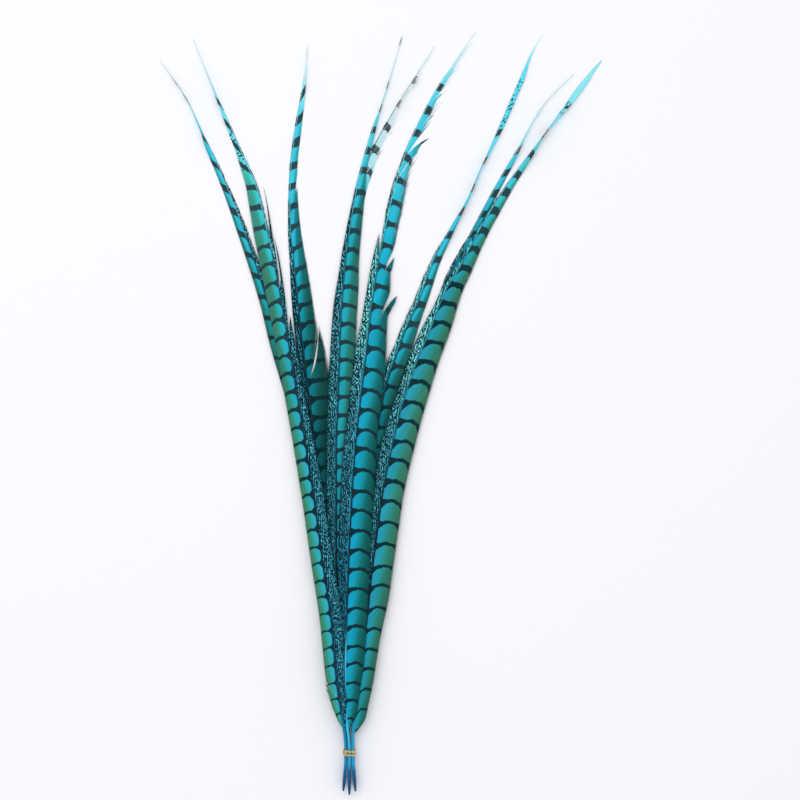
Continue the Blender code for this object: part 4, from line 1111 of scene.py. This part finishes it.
def marbledVane():
    # The narrow vane of the same feather: dark keratin with fine worm-like lines of the dye.
    material, tree, shader, read, onVane, across = startVane(
        "dyed marbled feather vane", 0.5,
        ("outer", "tone", "paintedShading", "marbleLight", "besideShaft", "wormOut", "wormBack",
         "wormAlong", "apart"))
    further = addNode(tree, "ShaderNodeCombineXYZ", {"Y": read["apart"]})  # its own marbling
    inMm = addNode(tree, "ShaderNodeVectorMath", {0: onVane, 1: further}, operation="ADD")
    worm = drawWorms(tree, read, inMm, across)
    ground, light, lightStrand = (
        addNode(tree, "ShaderNodeMix", {"Factor": read["marbleLight"], "A": hexColour(low),
                                        "B": hexColour(high)}, data_type="RGBA")
        for low, high in (vaneLook[kind] for kind in ("marbleGround", "marbleWorm",
                                                      "marbleStrand")))
    veined = addNode(tree, "ShaderNodeMix", {"Factor": worm, "A": ground, "B": light},
                     data_type="RGBA")
    # streaks along the shaft, light strands beside some shafts and a dark painted shadow beside
    # others
    streaky = addNode(tree, "ShaderNodeMapping",
                      {"Vector": inMm, "Scale": vaneLook["streakBlobs"]})
    streaks = addNode(tree, "ShaderNodeTexNoise", {"Vector": streaky, "Scale": 1.0,
                                                   "Detail": 1.0}, noise_dimensions="2D")
    streak = addNode(tree, "ShaderNodeMath", {0: streaks, 1: 0.5}, operation="SUBTRACT")
    aside = addNode(tree, "ShaderNodeMath", {0: across}, operation="ABSOLUTE")
    wander = addNode(tree, "ShaderNodeMath",
                     {0: streak, 1: vaneLook["streakWander"], 2: aside},
                     operation="MULTIPLY_ADD")
    near = addNode(tree, "ShaderNodeMapRange",
                   {"Value": wander, "From Min": vaneLook["streakWidth"][0],
                    "From Max": vaneLook["streakWidth"][1]}, interpolation_type="SMOOTHSTEP")
    lightSide = addNode(tree, "ShaderNodeMath", {0: read["besideShaft"], 1: 0.0},
                        operation="GREATER_THAN")
    sideColour = addNode(tree, "ShaderNodeMix",
                         {"Factor": lightSide, "A": hexColour(vaneLook["marbleShadow"]),
                          "B": lightStrand}, data_type="RGBA")
    strength = addNode(tree, "ShaderNodeMath", {0: read["besideShaft"]}, operation="ABSOLUTE")
    amount = addNode(tree, "ShaderNodeMath", {0: near, 1: strength}, operation="MULTIPLY")
    lined = addNode(tree, "ShaderNodeMix", {"Factor": amount, "A": veined, "B": sideColour},
                    data_type="RGBA")
    edge = addNode(tree, "ShaderNodeMapRange",
                   {"Value": read["outer"], "From Min": vaneLook["dimEdge"][0],
                    "From Max": vaneLook["dimEdge"][1], "To Min": 1.0,
                    "To Max": vaneLook["dimmedTo"]}, interpolation_type="SMOOTHSTEP")
    # the barb's random tone plus painted shading, which darkens the feather where it lies under
    # others
    toneAndPaintedShading = addNode(tree, "ShaderNodeMath",
                     {0: read["tone"], 1: vaneLook["marbledTone"], 2: read["paintedShading"]},
                     operation="MULTIPLY_ADD")
    dimmed = addNode(tree, "ShaderNodeMath", {0: toneAndPaintedShading, 1: edge}, operation="MULTIPLY")
    shaded = addNode(tree, "ShaderNodeVectorMath", {0: lined, "Scale": dimmed},
                     operation="SCALE")
    tree.links.new(shaded.outputs[0], shader.inputs["Base Color"])
    return material


shaftLook = {
    # along the shaft, from the cut quill to the hair at the tip
    "length": (-45, 780), "gloss": (0.13, 0.38, 0.48, 1.0),
    # the scraped streaks to a metre, and how dark and light they are
    "streaks": (1800.0, 60.0, 1800.0), "streakEdge": (0.3, 0.7), "streakShade": (0.82, 1.12),
    # both ramps end near white at the tip: the hair's paler colour together with painted light
    # shining through it
    "dark": [(-45, "#12466e"), (-20, "#165a92"), (-14, "#1f86b4"), (24, "#1c7ea6"),
             (50, "#0b3448"), (180, "#10202e"), (420, "#10262f"), (560, "#12424e"),
             (650, "#2a6270"), (715, "#4d8a98"), (780, "#cdeaf1")],
    "light": [(-45, "#12466e"), (-20, "#165a92"), (-14, "#2fa8d2"), (28, "#44bee2"),
              (112, "#48bfe2"), (130, "#2d90b6"), (155, "#1b5f86"), (220, "#1a4c68"),
              (330, "#20647a"), (450, "#2f8f96"), (540, "#45b4c4"), (600, "#74d4e4"),
              (690, "#9fe2ee"), (780, "#d8eff5")],
}


def dyedQuill():
    # Keratin shaft and bare quill, dyed blue: smooth and a little glossy, with long faint
    # streaks from the scraped surface.
    material, tree, shader = newMaterial("dyed keratin quill", Roughness=0.35,
                                         Specular_IOR_Level=0.3,
                                         Specular_Tint=shaftLook["gloss"])
    coords = addNode(tree, "ShaderNodeTexCoord").outputs["Object"]
    part = addNode(tree, "ShaderNodeSeparateXYZ", {0: coords}).outputs
    low, high = shaftLook["length"]
    way = addNode(tree, "ShaderNodeMapRange",
                  {"Value": part["Y"], "From Min": low * mm, "From Max": high * mm})
    dark, light = (addRamp(tree, way, [((y - low) / (high - low), colour)
                                       for y, colour in shaftLook[kind]])
                   for kind in ("dark", "light"))
    lit = addNode(tree, "ShaderNodeAttribute", attribute_name="shaftLight").outputs["Fac"]
    dye = addNode(tree, "ShaderNodeMix", {"Factor": lit, "A": dark, "B": light},
                  data_type="RGBA")
    drawn = addNode(tree, "ShaderNodeMapping",
                    {"Vector": coords, "Scale": shaftLook["streaks"]})
    streaks = addNode(tree, "ShaderNodeTexNoise", {"Vector": drawn, "Scale": 1.0})
    scraped = addNode(tree, "ShaderNodeMapRange",
                      {"Value": streaks, "From Min": shaftLook["streakEdge"][0],
                       "From Max": shaftLook["streakEdge"][1],
                       "To Min": shaftLook["streakShade"][0],
                       "To Max": shaftLook["streakShade"][1]})
    shaded = addNode(tree, "ShaderNodeVectorMath", {0: dye, "Scale": scraped},
                     operation="SCALE")
    tree.links.new(shaded.outputs[0], shader.inputs["Base Color"])
    return material


def countBars(feather, along):
    # Which bar each point lies at, with the share of the way to the next, and their pitch.
    bars = np.array(feather["bars"], float)
    gaps = np.diff(bars)
    bars = np.concatenate([bars[0] - gaps[0] * np.arange(6, 0, -1), bars,
                           bars[-1] + gaps[-1] * np.arange(1, 6)])  # a few more past both ends
    middles = (bars[1:] + bars[:-1]) / 2
    return (np.interp(along, bars, np.arange(len(bars))),
            np.interp(along, middles, np.diff(bars)))


def archBars(feather, along, share, onBarred):
    # How far each bar bends up at the shaft and at the edge, from its middle.
    places, atShaft, atEdge = np.array(feather["arch"], float).T
    inner, outer = (smooth(list(zip(places, ends)), along) for ends in (atShaft, atEdge))
    out = share / vaneLook["archMiddle"]
    crown = (inner * np.clip(1 - out, 0, 1) ** vaneLook["archInner"]
             + outer * np.clip(out - 1, 0, vaneLook["archReach"]) ** vaneLook["archOuter"])
    # on the narrow side near the tip the bars run straight on from the shaft
    return np.where(onBarred, crown, inner)


def countWorms(across, along, ordinal):
    # How many worm-like lines lie between each point and the shaft's foot, in each slant.
    steps = np.arange(-60.0, 800.0)
    passed = np.interp(along, steps, np.cumsum(1 / smooth(bunch["marblePitch"], steps)))
    beside = np.abs(across) / smooth(bunch["marblePitch"], along)
    return [passed * math.sin(math.radians(slant)) + beside * math.cos(math.radians(slant))
            + vaneLook["wormShift"] * ordinal for slant in vaneLook["wormSlants"]]


def paintGuides(mesh, feather, ordinal):
    # Attributes that the vane materials read: where each point is in its vane's pattern.
    laid, placed = (np.empty(len(mesh.vertices) * 3, np.float32) for _ in range(2))
    mesh.attributes["laid"].data.foreach_get("vector", laid)
    mesh.vertices.foreach_get("co", placed)
    across, along = (laid.reshape(-1, 3)[:, axis] / mm for axis in (0, 1))
    onBarred = across >= 0
    wide = np.where(onBarred, smooth(feather["barred"], along), smooth(feather["narrow"], along))
    share = np.clip(np.abs(across) / wide, 0, vaneLook["shareReach"])
    barNumber, pitch = countBars(feather, along)
    crown = archBars(feather, along, share, onBarred)
    thick = smooth(bunch["barThickness"], along) * smooth(feather["barScale"], along)
    worms = countWorms(across, along, ordinal)
    guides = {name: smooth(feather[name], along) for name in
              ("flareEdge", "strip", "specks", "broken", "marbleLight", "besideShaft", "pale",
               "green", "paintedShading")}
    guides.update(
        wormOut=worms[0], wormBack=worms[1], wormAlong=worms[2], outer=share,
        apart=np.full(len(along), vaneLook["apart"] * ordinal),
        share=np.where(onBarred, share, vaneLook["narrowShare"] * share),
        barCount=barNumber - crown / pitch, barPitch=pitch,
        barThick=np.where(along - crown > feather["lastBar"], 0.0, thick),
        flareShaft=smooth(feather["flareShaft"], along) * onBarred,
        flareUp=np.full(len(along), feather["flareUp"]),
        cyanShift=vaneLook["cyanFrom"] + smooth(feather["cyanShift"], along),
        shaftLight=smooth(feather["shaftLight"], placed.reshape(-1, 3)[:, 1] / mm))
    storeValues(mesh, guides)
    for name in (*layingValues, "corner", "thick"):
        if name in mesh.attributes:
            mesh.attributes.remove(mesh.attributes[name])


def growFeather(name, feather, ordinal, tree, finishes):
    bed, line = layBed(feather), layShaftLine(feather)
    mesh = runTree(name, plantRoots(feather, ordinal), tree, {
        "Vane bed": bed, "Shaft line": line, "Barb steps": bunch["barbSteps"],
        "Barb spacing": bunch["barbSpacing"] * mm, "Overlap": bunch["barbOverlap"],
        "Ridge height": bunch["ridgeHeight"] * mm, "Web sink": bunch["webSink"] * mm,
        "Across from": bedSize["low"] * mm, "Across to": bedSize["high"] * mm,
        "Along from": feather["butt"] * mm, "Along to": feather["barred"][-1][0] * mm,
        "Barred side": float(feather["side"]), **finishes})
    for helper in (bed, line):
        bpy.data.objects.remove(helper, do_unlink=True)
    paintGuides(mesh, feather, ordinal)
    triangles = sum(len(face.vertices) - 2 for face in mesh.polygons)
    print(f"{name}: {triangles} triangles")
    return addObject(name, mesh)


featherTree = buildFeatherTree()
finishes = {"Barred vane": dyedBarredVane(), "Marbled vane": marbledVane(),
            "Shaft": dyedQuill()}
for ordinal, (name, ownValues) in enumerate(feathers.items()):
    piece = growFeather(name, {**usualFeather, **ownValues}, ordinal, featherTree, finishes)
    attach(piece, "root")
    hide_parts(ownValues["node"])
print("feathers grown")

# A plain rubber band, wound three times round the quills so that its turns cross each other.
# Sizes are in mm, and the wound turns stay in the wall of the CAD model's band.
bandLook = {
    "turns": 3, "crossings": 2, "width": 1.9, "thickness": 0.85, "edgeRound": 0.35,
    "cornerRadius": 2.0, "halfLength": 2.45, "startTurn": 0.55, "innerGap": 0.28,
    "weave": 0.315, "weaveOnTop": 0.5, "midWall": 0.6, "steps": 72,
    "rubber": "#bfa76e", "rubberDark": "#8c7440", "rubberPale": "#d6c58e",
    "cutLines": 0.35, "dustSize": 1.6,
}


def layBandLine():
    # The middle line of the wound rubber, with the direction away from the quills at each point.
    half = bunch["quillPitch"] + bunch["quillRadius"] + bunch["bandGap"]
    centre, corner = bunch["bandWall"] + half, bandLook["cornerRadius"]
    side, quarter = 2 * (half - corner), math.pi / 2 * (corner + bandLook["midWall"])
    count = bandLook["turns"] * bandLook["steps"]
    points, outward = [], []
    for k in range(count):
        turned = k / bandLook["steps"]  # in whole turns round the quills
        phase = 2 * math.pi * (turned * bandLook["crossings"] / bandLook["turns"]
                               + bandLook["startTurn"])
        way = (turned % 1) * 4 * (side + quarter)
        face, rest = divmod(way, side + quarter)
        base = math.pi / 2 * face  # this quarter starts with its straight side
        angle = base + math.pi / 2 * max(0.0, rest - side) / quarter
        slide = min(rest, side) - side / 2
        onTop = max(0.0, math.sin(angle)) ** 2
        weave = bandLook["weave"] + (bandLook["weaveOnTop"] - bandLook["weave"]) * onTop
        away = (bandLook["thickness"] / 2 - bandLook["innerGap"] + weave
                + weave * math.cos(phase))
        flat = (side / 2 * math.cos(base) - slide * math.sin(base),
                side / 2 * math.sin(base) + slide * math.cos(base))
        points.append(((flat[0] + (corner + away) * math.cos(angle)) * mm,
                       bandLook["halfLength"] * math.sin(phase) * mm,
                       (centre + flat[1] + (corner + away) * math.sin(angle)) * mm))
        outward.append((math.cos(angle), 0.0, math.sin(angle)))
    return addGuide("bandLine", points, [(k, (k + 1) % count) for k in range(count)],
                    {"outward": outward})


def buildBandTree():
    # Sweeps the flat rubber along its line, always face down on the quills.
    tree, given = newTree("wound band", {
        "Line": "Geometry", "Width": "Float", "Thickness": "Float", "Edge round": "Float",
        "Rubber": "Material"}, "Band")
    curve = addNode(tree, "GeometryNodeMeshToCurve", {"Mesh": given["Line"]})
    outward = addNode(tree, "GeometryNodeInputNamedAttribute", {"Name": "outward"},
                      data_type="FLOAT_VECTOR")
    faced = addNode(tree, "GeometryNodeSetCurveNormal", {"Curve": curve, "Normal": outward},
                    mode="FREE")
    section = addNode(tree, "GeometryNodeCurvePrimitiveQuadrilateral",
                      {"Width": given["Thickness"], "Height": given["Width"]})
    rounded = addNode(tree, "GeometryNodeFilletCurve",
                      {"Curve": section, "Count": 3, "Radius": given["Edge round"]},
                      mode="POLY")
    swept = addNode(tree, "GeometryNodeCurveToMesh", {"Curve": faced, "Profile Curve": rounded})
    smoothed = addNode(tree, "GeometryNodeSetShadeSmooth", {"Geometry": swept})
    whole = addNode(tree, "GeometryNodeRealizeInstances", {"Geometry": smoothed})
    finished = addNode(tree, "GeometryNodeSetMaterial",
                       {"Geometry": whole, "Material": given["Rubber"]})
    addNode(tree, "NodeGroupOutput", {0: finished})
    return tree


def tanRubber():
    # Natural rubber, cut into a band from a dipped tube: dull tan, dusty, a little see-through
    # at its edges, with faint lines along it from the cutter.
    material, tree, shader = newMaterial("tan natural rubber", Roughness=0.62,
                                         Specular_IOR_Level=0.3, Subsurface_Weight=0.15,
                                         Subsurface_Scale=0.001)
    coords = addNode(tree, "ShaderNodeTexCoord").outputs["Object"]
    dust = addNode(tree, "ShaderNodeTexNoise",
                   {"Vector": coords, "Scale": 1000 / bandLook["dustSize"], "Detail": 4.0})
    mottled = addRamp(tree, dust, [(0.3, bandLook["rubberDark"]), (0.5, bandLook["rubber"]),
                                   (0.72, bandLook["rubberPale"])])
    tree.links.new(mottled, shader.inputs["Base Color"])
    along = addNode(tree, "ShaderNodeMapping",
                    {"Vector": coords, "Scale": (150.0, 1000 / bandLook["cutLines"], 150.0)})
    lines = addNode(tree, "ShaderNodeTexNoise", {"Vector": along, "Scale": 1.0, "Detail": 1.0})
    raised = addNode(tree, "ShaderNodeBump",
                     {"Strength": 0.35, "Distance": 0.0001, "Height": lines})
    tree.links.new(raised.outputs[0], shader.inputs["Normal"])
    return material


bandMesh = runTree("woundRubberBand", layBandLine(), buildBandTree(), {
    "Width": bandLook["width"] * mm, "Thickness": bandLook["thickness"] * mm,
    "Edge round": bandLook["edgeRound"] * mm, "Rubber": tanRubber()})
woundBand = addObject("woundRubberBand", bandMesh)
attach(woundBand, "root")
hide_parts("rubber_band")
print("rubber band wound:", len(bandMesh.polygons), "faces")


# A table of matt white paper. Its size is in metres.
floorLook = {"size": 8.0, "paper": "#f3f4f9"}
whitePaper = newMaterial("matt white paper", Base_Color=hexColour(floorLook["paper"]),
                         Roughness=0.9, Specular_IOR_Level=0.1)[0]
half = floorLook["size"] / 2
floorMesh = bpy.data.meshes.new("floor")
floorMesh.from_pydata([(-half, -half, 0), (half, -half, 0), (half, half, 0), (-half, half, 0)],
                      [], [(0, 1, 2, 3)])
floorMesh.materials.append(whitePaper)
addObject("floor", floorMesh)

# The camera stands over the middle of the photo's field, which is 0.864 m wide.
cameraSettings = {"centre": (0.0545, 0.3796), "height": 3.0, "field": 0.864, "sensor": 36.0}
camera = addObject("camera", bpy.data.cameras.new("camera"))
camera.data.sensor_width = cameraSettings["sensor"]
camera.data.lens = cameraSettings["sensor"] * cameraSettings["height"] / cameraSettings["field"]
camera.location = (*cameraSettings["centre"], cameraSettings["height"])
bpy.context.scene.camera = camera

# An even white sky, and one large soft light from the upper left.
lightSettings = {"sky": 0.86, "softBox": 22.0, "softBoxSize": 2.2,
                 "softBoxPlace": (-0.6, 1.2, 2.7)}
world = bpy.data.worlds.new("studio")
world.use_nodes = True
background = world.node_tree.nodes["Background"]
background.inputs["Color"].default_value = (1.0, 1.0, 1.0, 1.0)
background.inputs["Strength"].default_value = lightSettings["sky"]
bpy.context.scene.world = world
softBox = addObject("softBox", bpy.data.lights.new("softBox", "AREA"))
softBox.data.energy = lightSettings["softBox"]
softBox.data.size = lightSettings["softBoxSize"]
softBox.location = lightSettings["softBoxPlace"]
aim = camera.location.copy()
aim.z = 0
softBox.rotation_euler = (aim - softBox.location).to_track_quat("-Z", "Y").to_euler()
softBox.visible_camera = False
bpy.context.scene.view_settings.view_transform = "Standard"
print("stage, camera and lights set")
